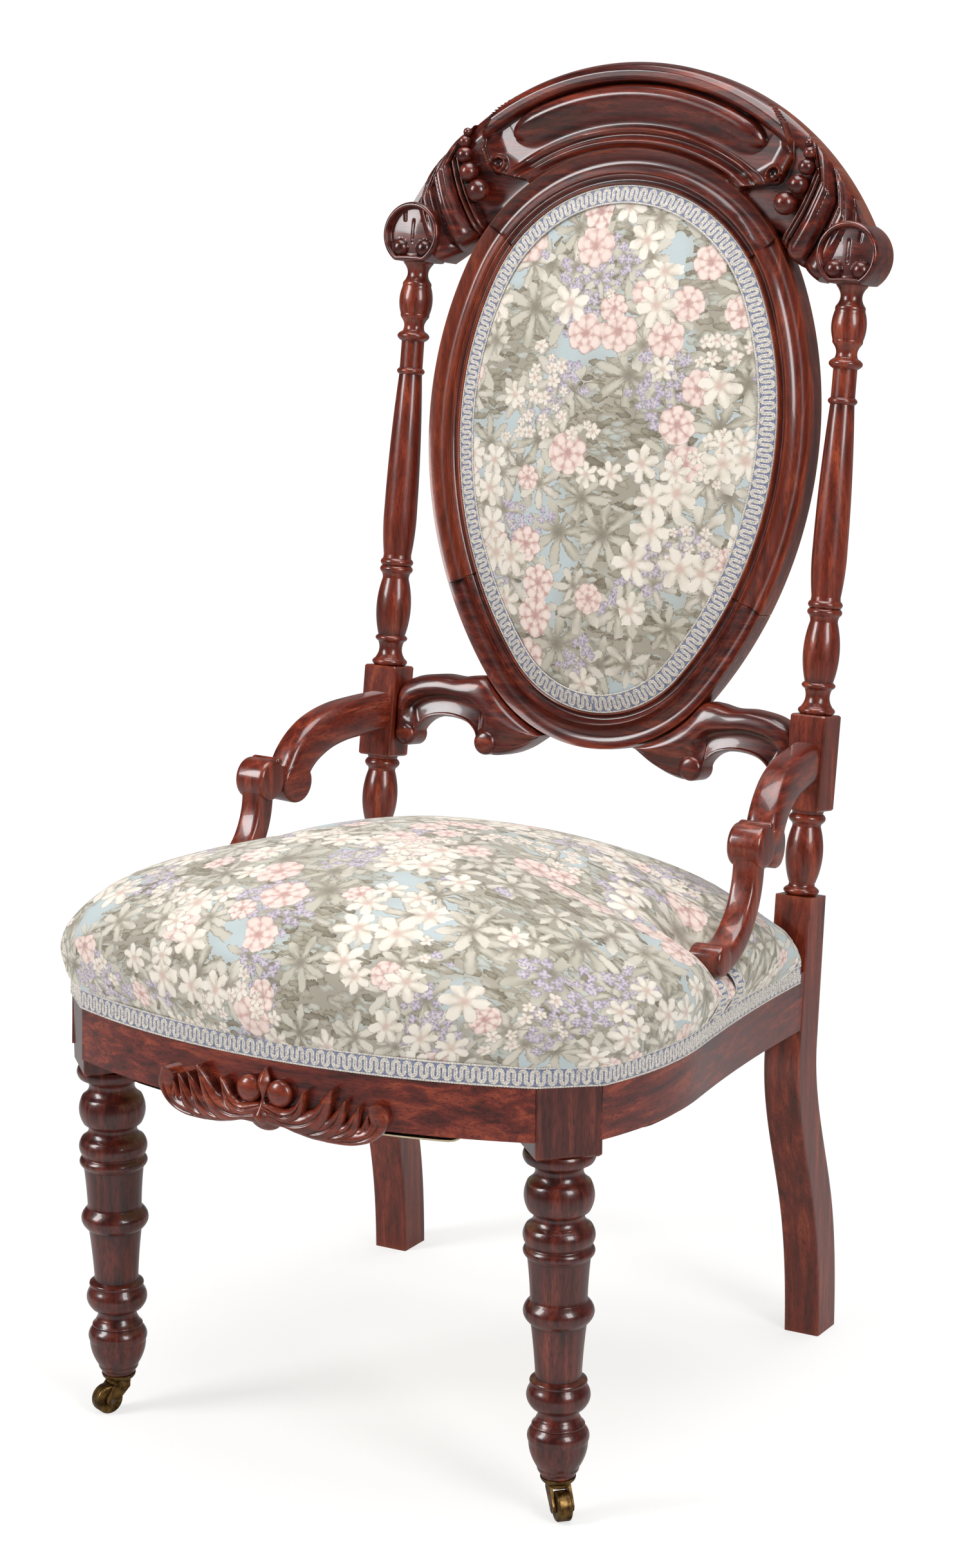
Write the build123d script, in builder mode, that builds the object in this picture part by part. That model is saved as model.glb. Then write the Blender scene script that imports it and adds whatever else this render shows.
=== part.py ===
from build123d import *
from math import asin, atan2, cos, degrees, radians, sin, sqrt
import os

# Upholstered parlour side chair: turned front legs on brass casters, raked turned posts
# with sabre rear legs, an arched carved crest over an oval padded back, low scrolled arms
# and a webbed, stuffed-over seat. The origin is on the floor under the middle of the chair,
# the front faces -Y and +Z is up. Lengths are millimetres and angles are degrees.

# Seat frame
seat_height = 333.0          # rail tops above the floor, over the origin
seat_tilt = 3.0              # fall of the seat towards the back
seat_front_reach = 289.0     # face of the bowed front rail, ahead of the origin
rail_depth = 48.0
rail_thickness = 26.0
swell_half_width = 244.0     # widest place of the serpentine side rails
swell_y = -125.0
swell_turn = 9.5             # turn of the swell before the side runs hollow to the post

# Front legs
leg_x = 197.5
leg_y = -210.0
leg_block = 50.0             # square block, set cornerwise
leg_block_bottom = 283.0
leg_foot = 31.0              # end of the wood above the floor

# Back posts and rear legs
post_x = 200.0
post_y = 189.3               # post axis at the datum height
post_datum = 409.0
post_rake = 8.65
post_square = 31.0
post_leg_top = -28.3         # these five lie along the raked axis, from the datum
post_block_low = 40.5
post_block_high = 117.3
post_top = 458.2
post_tenon_top = 482.0
post_tenon_radius = 6.5
knee_y = 154.6               # front edge of the rear leg at its knee
knee_z = 258.0
knee_depth = 35.0
ankle_y = 188.0
ankle_z = 116.0
ankle_depth = 36.5
foot_y = 202.5
foot_depth = 33.5

# Oval back frame, in the raked plane of the posts
egg_middle = 335.0           # height of the widest place
egg_half_width = 146.5
egg_top = 530.0
egg_bottom = 97.5
egg_top_radius = 134.0
egg_bottom_radius = 98.0
oval_width = 30.0            # moulding outside the upholstery line
oval_lip = 14.0              # tacking rebate inside it
oval_back = -15.0            # these five are depths, positive to the front
oval_shoulder = 2.0
oval_crown = 14.0
oval_bead = 8.5
oval_floor = -3.0
oval_joint = 54.0            # joints with the crest, from the upright
oval_low_joint = 24.0        # joints with the bottom piece, below the level

# Crest rail
crest_centre = 389.0
crest_radius = 240.0
crest_sweep = 58.0           # half angle of the arched cornice
crest_back = -15.0
crest_field = 4.0
crest_nosing = 13.0
roll_radius = 14.5           # long roll in the hollow of the crest
roll_path = 204.0
roll_sweep = 33.0
cap_half_width = 28.5        # arched caps over the posts
cap_front = 19.0
cap_rim = 4.0
cap_recess = 2.0
cap_ball = 8.0               # two balls at the foot of each cap
cap_ball_x = 11.0
berry_radii = (9.0, 7.5, 6.2, 5.0)
berry_places = ((141.0, 521.5), (151.5, 536.5), (158.0, 550.0), (161.5, 561.5))
berry_depth = 8.0

# Scrolled brackets between the posts and the oval
bracket_crown = 115.0
bracket_arch = 80.0
bracket_thickness = 24.0
bracket_scroll = 9.5

# Arms
arm_height = 505.0           # top of the arm where it leaves the post block
arm_depth = 33.0
arm_width = 27.0
arm_splay = 9.5
arm_reach = 113.0            # post to the eye of the rear scroll
arm_drop = 56.5              # eye of the rear scroll below the top
arm_scroll = 17.0
knuckle_radius = 16.5
knuckle_rise = 7.5           # eye of the knuckle above the eye of the scroll
support_splay = 2.5
support_width = 20.0
support_depth = 20.0
support_sweep = 66.0         # radius of the hollow support
support_foot = 9.0
foot_peg_inset = 6.0         # peg of the foot, inside the middle of the support

# Upholstery
cover_gap = 0.4
canvas_thickness = 1.5
crown_height = 126.0         # seat crown above the rails
crown_radius = 480.0
crown_y = -70.0
braid_width = 16.0
braid_thickness = 2.6
back_crown = 20.0
web_width = 50.0
web_thickness = 1.4
web_rows = (-115.0, -45.0, 25.0)
web_columns = (-75.0, 0.0, 75.0)

# Dowels
peg_radius = 4.0
peg_length = 34.0
peg_clearance = 0.12
peg_end_gap = 1.0
back_peg_shift = 7.0         # keeps the back rail's dowels clear of the side rail's
bracket_peg_height = 93.5    # up the rake, over the arm's dowel

# Casters
wheel_radius = 11.4
wheel_width = 11.0
caster_trail = 11.0
caster_turn_right = -45.0    # heading of the wheel, from +X
caster_turn_left = -114.0
crown_bottom = 23.4
crown_thickness = 2.6
running_gap = 0.35
cheek_thickness = 2.2
stem_radius = 3.0
axle_radius = 1.6

os.makedirs("parts", exist_ok=True)

# Reference planes: the tilted top of the seat rails and the raked plane of the back
tilt_sin = sin(radians(seat_tilt))
tilt_cos = cos(radians(seat_tilt))
rake_sin = sin(radians(post_rake))
rake_cos = cos(radians(post_rake))
seat = Plane((0, 0, seat_height), x_dir=(1, 0, 0), z_dir=(0, tilt_sin, tilt_cos))
back = Plane((0, post_y, post_datum), x_dir=(1, 0, 0), z_dir=(0, -rake_cos, rake_sin))
rise = back.y_dir
half_diagonal = leg_block / sqrt(2)
half_post = post_square / 2
post_inner = post_x - half_post
post_outer = post_x + half_post


def on_back(x, height, depth=0.0):
    """Point of the raked back, from its width, its height along the rake and its depth."""
    return back.from_local_coords(Vector(x, height, depth))


def on_seat(x, y, height=0.0):
    """Point of the tilted seat, height measured square to the rail tops."""
    return seat.from_local_coords(Vector(x, y, height))


def export(piece, name):
    piece.part.label = name
    export_step(piece.part, f"parts/{name}.step")


def turning(plane, start, end, radius, steps):
    """Turned length from start to end along the plane's Y axis. Each step is its length, its
    end radius and its swell: beads and vases swell out, coves swell in, tapers are straight."""
    scale_to_fit = (end - start) / sum(length for length, _, _ in steps)
    height = start
    with BuildSketch(plane) as section:
        with BuildLine():
            Line((0, start), (radius, start))
            for length, end_radius, swell in steps:
                top = height + length * scale_to_fit
                if swell:
                    middle = ((radius + end_radius) / 2 + swell, (height + top) / 2)
                    ThreePointArc((radius, height), middle, (end_radius, top))
                else:
                    Line((radius, height), (end_radius, top))
                radius = end_radius
                height = top
            Line((radius, height), (0, height))
            Line((0, height), (0, start))
        make_face()
    revolve(section.sketch, axis=Axis(plane.origin, plane.y_dir))


# Dowels of the right half: a point on the joint and the direction of the dowel
front_bow = ((seat_front_reach + leg_y - half_diagonal) ** 2 + leg_x ** 2) / (
    2 * (seat_front_reach + leg_y - half_diagonal))
front_slope = degrees(asin(leg_x / front_bow))
side_run = swell_half_width - leg_x - half_diagonal
side_bow = (side_run ** 2 + (swell_y - leg_y) ** 2) / (2 * side_run)
side_slope = degrees(asin((swell_y - leg_y) / side_bow))
front_mid = front_bow - rail_thickness / 2
front_peg_angle = asin((leg_x - 0.45 * rail_thickness) / front_mid)
side_mid = side_bow - rail_thickness / 2
side_peg_y = leg_y + rail_thickness / 2
side_peg_angle = asin((side_peg_y - swell_y) / side_mid)
back_rail_y = knee_y + 21.0
peg_rows = (-0.3 * rail_depth, -0.7 * rail_depth)

egg_top_centre = egg_top - egg_top_radius
egg_bottom_centre = egg_bottom + egg_bottom_radius
egg_rise = egg_top_centre - egg_middle
egg_fall = egg_middle - egg_bottom_centre
egg_high_radius = (egg_half_width ** 2 + egg_rise ** 2 - egg_top_radius ** 2) / (
    2 * (egg_half_width - egg_top_radius))
egg_low_radius = (egg_half_width ** 2 + egg_fall ** 2 - egg_bottom_radius ** 2) / (
    2 * (egg_half_width - egg_bottom_radius))
egg_high_centre = egg_half_width - egg_high_radius
egg_low_centre = egg_half_width - egg_low_radius
egg_high_turn = degrees(atan2(egg_rise, -egg_high_centre))
egg_low_turn = degrees(atan2(egg_fall, -egg_low_centre))

arm_root = on_back(post_x, (arm_height - arm_depth / 2 - post_datum) / rake_cos, half_post)
arm_way = Vector(sin(radians(arm_splay)), -cos(radians(arm_splay)), 0)
arm_plane = Plane((arm_root.X, arm_root.Y, 0), x_dir=arm_way, z_dir=arm_way.cross(Vector(0, 0, 1)))
scroll_eye = (arm_reach, arm_height - arm_drop)
knuckle_run = sqrt((arm_scroll + knuckle_radius) ** 2 - knuckle_rise ** 2)
knuckle_eye = arm_plane.from_local_coords(
    Vector(scroll_eye[0] + knuckle_run, scroll_eye[1] + knuckle_rise, 0))
support_way = Vector(sin(radians(support_splay)), -cos(radians(support_splay)), 0)
support_plane = Plane(knuckle_eye, x_dir=support_way, z_dir=support_way.cross(Vector(0, 0, 1)))
support_centre = (support_sweep + 4.0, -9.0)
foot_centre = (support_centre[0] + 4.0, support_centre[1] - support_sweep + 1.5)
foot_point = support_plane.from_local_coords(Vector(foot_centre[0] - 10, foot_centre[1], foot_peg_inset))
joint_angle = radians(90 - oval_joint)
low_angle = radians(-oval_low_joint)
joint_reach = egg_top_radius + (oval_width - oval_lip) / 2
low_reach = egg_low_radius + (oval_width - oval_lip) / 2
oval_peg_depth = (oval_back + oval_shoulder) / 2 - 1
bracket_angle = radians(-60)
bracket_reach = egg_bottom_radius + oval_width

knuckle_share = arm_scroll / (arm_scroll + knuckle_radius)
knuckle_joint = Vector(*scroll_eye) + Vector(knuckle_run, knuckle_rise) * knuckle_share
joint_point = (joint_reach * cos(joint_angle), egg_top_centre + joint_reach * sin(joint_angle))
low_point = (egg_low_centre + low_reach * cos(low_angle), egg_middle + low_reach * sin(low_angle))
bracket_point = (bracket_reach * cos(bracket_angle), egg_bottom_centre + bracket_reach * sin(bracket_angle))
pegs = {
    "crest_oval": (on_back(*joint_point, oval_peg_depth),
                   back.x_dir * -sin(joint_angle) + rise * cos(joint_angle)),
    "oval_low": (on_back(*low_point, oval_peg_depth),
                 back.x_dir * -sin(low_angle) + rise * cos(low_angle)),
    "bracket_oval": (on_back(*bracket_point, oval_peg_depth),
                     back.x_dir * cos(bracket_angle) + rise * sin(bracket_angle)),
    "bracket_post": (on_back(post_inner, bracket_peg_height), Vector(1, 0, 0)),
    "arm_post": (arm_root, arm_way),
    "arm_knuckle": (arm_plane.from_local_coords(knuckle_joint), arm_way),
}
front_peg_y = front_bow - seat_front_reach - front_mid * cos(front_peg_angle)
side_peg_x = swell_half_width - side_bow + side_mid * cos(side_peg_angle)
for row, height in zip(("high", "low"), peg_rows):
    pegs["front_" + row] = (on_seat(front_mid * sin(front_peg_angle), front_peg_y, height),
                            Vector(cos(front_peg_angle), sin(front_peg_angle), 0))
    pegs["side_" + row] = (on_seat(side_peg_x, side_peg_y, height),
                           Vector(-sin(side_peg_angle), cos(side_peg_angle), 0))
    pegs["post_" + row] = (on_seat(post_outer - rail_thickness / 2, knee_y + 4, height), Vector(0, 1, 0))
    pegs["back_" + row] = (on_seat(post_inner, back_rail_y + back_peg_shift, height), Vector(1, 0, 0))
foot_peg_length = foot_point.Z - on_seat(0, foot_point.Y, -0.5 * rail_depth).Z


def peg_bores(*names, sides=(1,)):
    """Dowel holes in the piece being made, on the right or on both sides."""
    for name in names:
        point, way = pegs[name]
        for side in sides:
            with Locations(Plane((side * point.X, point.Y, point.Z), z_dir=(side * way.X, way.Y, way.Z))):
                Cylinder(peg_radius + peg_clearance, peg_length + 2 * peg_end_gap, mode=Mode.SUBTRACT)


def foot_bore():
    """Hole for the peg that stands the arm support on the side rail."""
    with Locations(foot_point + Vector(0, 0, -foot_peg_length / 2)):
        Cylinder(peg_radius + peg_clearance, foot_peg_length + 2 * peg_end_gap, mode=Mode.SUBTRACT)


def seat_outline(rear):
    """Plan of the seat frame: bowed front, canted corners, serpentine sides, square back."""
    rear_corner = (post_outer - 0.5, knee_y)
    with BuildLine() as plan:
        CenterArc((0, front_bow - seat_front_reach), front_bow, -90, front_slope)
        Line((leg_x, leg_y - half_diagonal), (leg_x + half_diagonal, leg_y))
        swell_centre = (swell_half_width - side_bow, swell_y)
        swell = CenterArc(swell_centre, side_bow, -side_slope, side_slope + swell_turn)
        TangentArc(swell @ 1, rear_corner, tangent=swell % 1)
        Line(rear_corner, (rear_corner[0], rear))
        Line((rear_corner[0], rear), (0, rear))
        mirror(about=Plane.YZ)
    make_face(plan.edges())


def leg_square(growth=0.0):
    with Locations((leg_x, leg_y), (-leg_x, leg_y)):
        Rectangle(leg_block + 2 * growth, leg_block + 2 * growth, rotation=45)


def cut_leg_blocks(growth=0.0):
    with BuildSketch(Plane.XY) as squares:
        leg_square(growth)
    extrude(squares.sketch, amount=2 * seat_height, mode=Mode.SUBTRACT)


def sabre_profile():
    """Side of the rear leg: straight through the seat, then swept back to the floor."""
    front_top = on_back(post_x, post_leg_top, half_post)
    rear_top = on_back(post_x, post_leg_top, -half_post)
    knee_way = Vector(knee_y - front_top.Y, knee_z - front_top.Z)
    with BuildLine() as side:
        Line((front_top.Y, front_top.Z), (knee_y, knee_z))
        Spline((knee_y, knee_z), (ankle_y, ankle_z), (foot_y, 0), tangents=(knee_way, (0, -1)))
        Line((foot_y, 0), (foot_y + foot_depth, 0))
        Spline((foot_y + foot_depth, 0), (ankle_y + ankle_depth, ankle_z), (knee_y + knee_depth, knee_z),
               tangents=((0, 1), knee_way * -1))
        Line((knee_y + knee_depth, knee_z), (rear_top.Y, rear_top.Z))
        Line((rear_top.Y, rear_top.Z), (front_top.Y, front_top.Z))
    make_face(side.edges())


def egg(growth=0.0, size=1.0):
    """Upholstery line of the back, an egg of tangent arcs, grown outwards or scaled about its middle."""
    def high(y):
        return egg_middle + (y - egg_middle) * size

    with BuildLine() as line:
        CenterArc((0, high(egg_top_centre)), egg_top_radius * size + growth,
                  egg_high_turn, 90 - egg_high_turn)
        CenterArc((egg_high_centre * size, egg_middle), egg_high_radius * size + growth, 0, egg_high_turn)
        CenterArc((egg_low_centre * size, egg_middle), egg_low_radius * size + growth,
                  -egg_low_turn, egg_low_turn)
        CenterArc((0, high(egg_bottom_centre)), egg_bottom_radius * size + growth, -90, 90 - egg_low_turn)
        mirror(about=Plane.YZ)
    make_face(line.edges())


def bent(centre, start):
    """Plane across a moulding that bends about a centre of the back, and the axis it turns on."""
    way = back.x_dir * cos(radians(start)) + rise * sin(radians(start))
    origin = on_back(*centre)
    return Plane(origin, x_dir=way, z_dir=way.cross(back.z_dir)), Axis(origin, back.z_dir)


def oval_moulding(centre, radius, start, sweep):
    """Length of the oval frame: broad round, quirk and bead, with the tacking rebate inside."""
    plane, axis = bent(centre, start)
    with BuildSketch(plane) as section:
        with BuildLine():
            Line((radius + oval_width, oval_back), (radius + oval_width, oval_shoulder))
            ThreePointArc((radius + oval_width, oval_shoulder), (radius + 0.64 * oval_width, oval_crown),
                          (radius + 8, oval_bead - 4))
            Line((radius + 8, oval_bead - 4), (radius + 5, oval_bead - 4))
            ThreePointArc((radius + 5, oval_bead - 4), (radius + 2.5, oval_bead), (radius, oval_bead - 4))
            Line((radius, oval_bead - 4), (radius, oval_floor))
            Line((radius, oval_floor), (radius - oval_lip, oval_floor))
            Line((radius - oval_lip, oval_floor), (radius - oval_lip, oval_back))
            Line((radius - oval_lip, oval_back), (radius + oval_width, oval_back))
        make_face()
    revolve(section.sketch, axis=axis, revolution_arc=sweep)


# Front legs: a square block set cornerwise, over rings, tapers and a bulb turned in one piece
leg_turnings = (
    (4.5, 14.8, 0.3), (33, 16.5, 6.6), (12.5, 18.5, -3.7), (17, 20, 4), (3, 18.5, 0), (7, 16.3, -0.8),
    (39, 19.4, 0), (1.5, 21, 0), (17.5, 21.6, 4), (2, 20.6, 0), (29, 22.7, 0), (1.5, 24, 0),
    (12, 24.4, 1.8), (13, 23, 2.2), (3.5, 20.5, -0.3), (10, 19, -2.2), (1, 21, 0), (17, 21.2, 4.2),
    (2.5, 19, 0), (9.5, 18, -2.3), (3, 21, 0), (13, 24, 4))
leg_foot_radius = 13.3
stem_top = leg_foot + 32.0

with BuildPart() as front_leg_right:
    with BuildSketch(Plane.XY.offset(leg_block_bottom)):
        with Locations((leg_x, leg_y)):
            Rectangle(leg_block, leg_block, rotation=45)
    extrude(amount=seat_height)
    split(bisect_by=seat, keep=Keep.BOTTOM)
    turning(Plane((leg_x, leg_y, 0), x_dir=(1, 0, 0), z_dir=(0, -1, 0)), leg_foot, leg_block_bottom,
            leg_foot_radius, leg_turnings)
    with Locations((leg_x, leg_y, leg_foot)):
        Cylinder(stem_radius + peg_clearance, 2 * (stem_top + peg_end_gap - leg_foot), mode=Mode.SUBTRACT)
    peg_bores("front_high", "front_low", "side_high", "side_low")
with BuildPart() as front_leg_left:
    mirror(front_leg_right.part, about=Plane.YZ)

# Back posts: sabre leg, turned vase, square block and long turned baluster in one piece
low_turnings = (
    (7, 11, 2.4), (4, 11, -0.5), (44, 10.8, 2.6), (3, 11.5, 0), (8, 12, 2), (2.8, 13, 0))
high_turnings = (
    (5, 12.5, 1.8), (3, 10.5, 0), (12, 11, -1.2), (5.5, 11.4, 2), (47, 11.2, 2.9), (5, 12.2, -0.4),
    (6, 12.2, 1.8), (6, 12, 1.8), (3, 11.7, 0), (38, 14, 0.8), (112, 9.7, 1), (5.5, 9.7, 2.1),
    (22, 9.6, 0), (8.5, 9.4, 4.1), (11, 11.6, -1.9), (3, 12.2, 0.3), (23, 12, 2), (3, 11.8, 0.3),
    (15, 12, -3.2), (3.7, 12.4, 0.7), (3.7, 13.4, 0.4))

with BuildPart() as post_blank:
    with BuildSketch(Plane.YZ.offset(post_x)):
        sabre_profile()
    extrude(amount=half_post, both=True)
    post_axis = Plane((post_x, post_y, post_datum), x_dir=(1, 0, 0), z_dir=back.z_dir)
    turning(post_axis, post_leg_top, post_block_low, 11, low_turnings)
    with BuildSketch(Plane(on_back(post_x, post_block_low), x_dir=(1, 0, 0), z_dir=rise)):
        Rectangle(post_square, post_square)
    extrude(amount=post_block_high - post_block_low)
    turning(post_axis, post_block_high, post_top, 12.5, high_turnings)
    with BuildSketch(Plane(on_back(post_x, post_top), x_dir=(1, 0, 0), z_dir=rise)):
        Circle(post_tenon_radius)
    extrude(amount=post_tenon_top - post_top)
with BuildPart() as back_post_right:
    add(post_blank.part)
    peg_bores("post_high", "post_low", "back_high", "back_low", "bracket_post", "arm_post")
with BuildPart() as back_post_left:
    mirror(back_post_right.part, about=Plane.YZ)

# Seat rails: one bowed, two serpentine, one straight, all to the same depth
with BuildPart() as front_rail:
    with BuildSketch(seat):
        seat_outline(post_y + post_square)
        offset(amount=-rail_thickness, kind=Kind.INTERSECTION, mode=Mode.SUBTRACT)
        with Locations((0, leg_y - half_diagonal)):
            Rectangle(2 * leg_x, 2 * half_diagonal + 60, mode=Mode.INTERSECT)
    extrude(amount=-rail_depth)
    cut_leg_blocks()
    peg_bores("front_high", "front_low", sides=(1, -1))

with BuildPart() as side_rail_right:
    with BuildSketch(seat):
        seat_outline(post_y + 2 * post_square)
        offset(amount=-rail_thickness, kind=Kind.INTERSECTION, mode=Mode.SUBTRACT)
        side_end = knee_y + half_post
        with Locations((swell_half_width, (leg_y + side_end) / 2)):
            Rectangle(2 * (swell_half_width - leg_x + half_diagonal), side_end - leg_y, mode=Mode.INTERSECT)
    extrude(amount=-rail_depth)
    cut_leg_blocks()
    add(post_blank.part, mode=Mode.SUBTRACT)
    peg_bores("side_high", "side_low", "post_high", "post_low")
    foot_bore()
with BuildPart() as side_rail_left:
    mirror(side_rail_right.part, about=Plane.YZ)

with BuildPart() as back_rail:
    with BuildSketch(seat):
        with Locations((0, back_rail_y)):
            Rectangle(2 * post_inner, rail_thickness)
    extrude(amount=-rail_depth)
    peg_bores("back_high", "back_low", sides=(1, -1))

# Corner blocks: softwood glued and screwed behind each front leg and into the rear corners
corner_block_length = 74.0
corner_block_thickness = 22.0
rear_block = 46.0
with BuildPart() as corner_blocks:
    block_centre = (leg_block + corner_block_thickness) / 2 / sqrt(2)
    with BuildSketch(Plane.XY.offset(leg_block_bottom + 4)):
        for side in (1, -1):
            with Locations((side * (leg_x - block_centre), leg_y + block_centre)):
                Rectangle(corner_block_length, corner_block_thickness, rotation=side * 45)
    extrude(amount=seat_height)
    split(bisect_by=seat.offset(-4), keep=Keep.BOTTOM)
    with BuildSketch(seat.offset(-4)):
        for side in (1, -1):
            with BuildLine():
                Polyline((side * post_inner, back_rail_y - rail_thickness / 2),
                         (side * (post_inner - rear_block), back_rail_y - rail_thickness / 2),
                         (side * post_inner, back_rail_y - rail_thickness / 2 - rear_block), close=True)
            make_face()
    extrude(amount=8 - rail_depth)
    for piece in (front_rail, side_rail_right, side_rail_left, back_post_right, back_post_left):
        add(piece.part, mode=Mode.SUBTRACT)

# Crest rail: arched cornice with a long roll in its hollow, berries and arched end caps
cap_middle = 478.0
crest_hollow = 222.0
crest_bead = 187.0
crest_foot = 174.0
end_x = post_x + cap_half_width
joint_out = egg_top_radius + oval_width
joint_in = egg_top_radius + oval_width / 2
crest_hip = (post_x - 1.6 * cap_half_width, post_top + 22)
crest_step = crest_field + 2
roll_depth = crest_field - 3

with BuildPart() as crest_rail:
    oval_moulding((0, egg_top_centre), egg_top_radius, 90 - oval_joint, 2 * oval_joint)
    with BuildSketch(back.offset(crest_back)):
        with BuildLine():
            arch = CenterArc((0, crest_centre), crest_radius, 90 - crest_sweep, crest_sweep)
            Line(arch @ 0, (end_x, cap_middle))
            Line((end_x, cap_middle), (end_x, post_top))
            Line((end_x, post_top), (post_x - cap_half_width, post_top))
            joint_corner = (joint_out * cos(joint_angle), egg_top_centre + joint_out * sin(joint_angle))
            ThreePointArc((post_x - cap_half_width, post_top), crest_hip, joint_corner)
            joint_end = (joint_in * cos(joint_angle), egg_top_centre + joint_in * sin(joint_angle))
            Line(joint_corner, joint_end)
            CenterArc((0, egg_top_centre), joint_in, 90 - oval_joint, oval_joint)
            mirror(about=Plane.YZ)
        make_face()
    extrude(amount=crest_field - crest_back)
    plane, axis = bent((0, crest_centre), 90 - crest_sweep)
    with BuildSketch(plane):
        with BuildLine():
            Line((crest_radius, crest_back), (crest_radius, crest_field))
            ThreePointArc((crest_radius, crest_field), (crest_radius - 7, crest_nosing),
                          (crest_hollow, crest_step))
            Line((crest_hollow, crest_step), (crest_hollow, crest_back))
            Line((crest_hollow, crest_back), (crest_radius, crest_back))
        make_face()
        with BuildLine():
            Line((crest_bead, crest_field - 2), (crest_bead, crest_field))
            ThreePointArc((crest_bead, crest_field), ((crest_bead + crest_foot) / 2, crest_field + 6),
                          (crest_foot, crest_field))
            Line((crest_foot, crest_field), (crest_foot, crest_field - 2))
            Line((crest_foot, crest_field - 2), (crest_bead, crest_field - 2))
        make_face()
    revolve(axis=axis, revolution_arc=2 * crest_sweep)
    plane, axis = bent((0, crest_centre), 90 - roll_sweep)
    with BuildSketch(plane):
        with Locations((roll_path, roll_depth)):
            Circle(roll_radius)
    revolve(axis=axis, revolution_arc=2 * roll_sweep)
    for side in (1, -1):
        with Locations(on_back(side * roll_path * sin(radians(roll_sweep)),
                               crest_centre + roll_path * cos(radians(roll_sweep)), roll_depth)):
            Sphere(roll_radius)
        for radius, (x, height) in zip(berry_radii, berry_places):
            with Locations(on_back(side * x, height, berry_depth)):
                Sphere(radius)
    for reach, depth, mode in ((cap_half_width, cap_front, Mode.ADD),
                               (cap_half_width - cap_rim, cap_front, Mode.SUBTRACT)):
        base = crest_back if mode is Mode.ADD else cap_front - cap_recess
        bottom = post_top + cap_half_width - reach
        with BuildSketch(back.offset(base)):
            for side in (1, -1):
                with Locations((side * post_x, cap_middle)):
                    Circle(reach)
                with Locations((side * post_x, (cap_middle + bottom) / 2)):
                    Rectangle(2 * reach, cap_middle - bottom)
        extrude(amount=depth - base, mode=mode)
    split(bisect_by=back.offset(crest_back), keep=Keep.TOP)
    split(bisect_by=Plane(on_back(0, post_top), x_dir=(1, 0, 0), z_dir=rise), keep=Keep.TOP)
    for x in (post_x - cap_ball_x, post_x + cap_ball_x, -post_x - cap_ball_x, cap_ball_x - post_x):
        with Locations(on_back(x, post_top + cap_ball + 2, cap_front - cap_ball / 2)):
            Sphere(cap_ball)
    for side in (1, -1):
        with BuildSketch(Plane(on_back(side * post_x, post_top), x_dir=(1, 0, 0), z_dir=rise)):
            Circle(post_tenon_radius + peg_clearance)
        extrude(amount=post_tenon_top + peg_end_gap - post_top, mode=Mode.SUBTRACT)
    peg_bores("crest_oval", sides=(1, -1))

# Oval frame below the crest: two bent stiles and a bent bottom piece
with BuildPart() as oval_side_right:
    oval_moulding((0, egg_top_centre), egg_top_radius, egg_high_turn, 90 - oval_joint - egg_high_turn)
    oval_moulding((egg_high_centre, egg_middle), egg_high_radius, 0, egg_high_turn)
    oval_moulding((egg_low_centre, egg_middle), egg_low_radius, -oval_low_joint, oval_low_joint)
    peg_bores("crest_oval", "oval_low")
with BuildPart() as oval_side_left:
    mirror(oval_side_right.part, about=Plane.YZ)

with BuildPart() as oval_bottom:
    oval_moulding((egg_low_centre, egg_middle), egg_low_radius, -egg_low_turn, egg_low_turn - oval_low_joint)
    oval_moulding((0, egg_bottom_centre), egg_bottom_radius, egg_low_turn - 180, 180 - 2 * egg_low_turn)
    oval_moulding((-egg_low_centre, egg_middle), egg_low_radius,
                  180 + oval_low_joint, egg_low_turn - oval_low_joint)
    peg_bores("oval_low", "bracket_oval", sides=(1, -1))

# Brackets: arched scrolls from the post blocks to the lower sides of the oval
bracket_gap = 0.1
bracket_low = 62.0
bracket_inner_eye = 97.0
bracket_middle = 145.0
bracket_tail = 40.0
with BuildPart() as back_bracket_right:
    with BuildSketch(back):
        outer_eye = post_inner - bracket_scroll
        with BuildLine():
            ThreePointArc((post_inner, bracket_crown - 13), (bracket_middle, bracket_crown),
                          (bracket_inner_eye - 9, bracket_crown - 17))
            Polyline((bracket_inner_eye - 9, bracket_crown - 17), (bracket_tail - 6, bracket_crown),
                     (bracket_tail, bracket_low + 10))
            ThreePointArc((bracket_tail, bracket_low + 10), (bracket_inner_eye - 31, bracket_low - 4),
                          (bracket_inner_eye, bracket_low - bracket_scroll))
            Polyline((bracket_inner_eye, bracket_low - bracket_scroll), (bracket_inner_eye, bracket_low),
                     (bracket_inner_eye + 9, bracket_low + 5))
            ThreePointArc((bracket_inner_eye + 9, bracket_low + 5),
                          ((bracket_inner_eye + outer_eye) / 2, bracket_arch),
                          (outer_eye - 9, bracket_low + 5))
            Polyline((outer_eye - 9, bracket_low + 5), (outer_eye, bracket_low), (post_inner, bracket_low),
                     (post_inner, bracket_crown - 13))
        make_face()
        with Locations((outer_eye, bracket_low), (bracket_inner_eye, bracket_low)):
            Circle(bracket_scroll)
    extrude(amount=bracket_thickness / 2, both=True)
    with BuildSketch(back):
        egg(oval_width + bracket_gap)
    extrude(amount=bracket_thickness, both=True, mode=Mode.SUBTRACT)
    peg_bores("bracket_post", "bracket_oval")
with BuildPart() as back_bracket_left:
    mirror(back_bracket_right.part, about=Plane.YZ)

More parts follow.
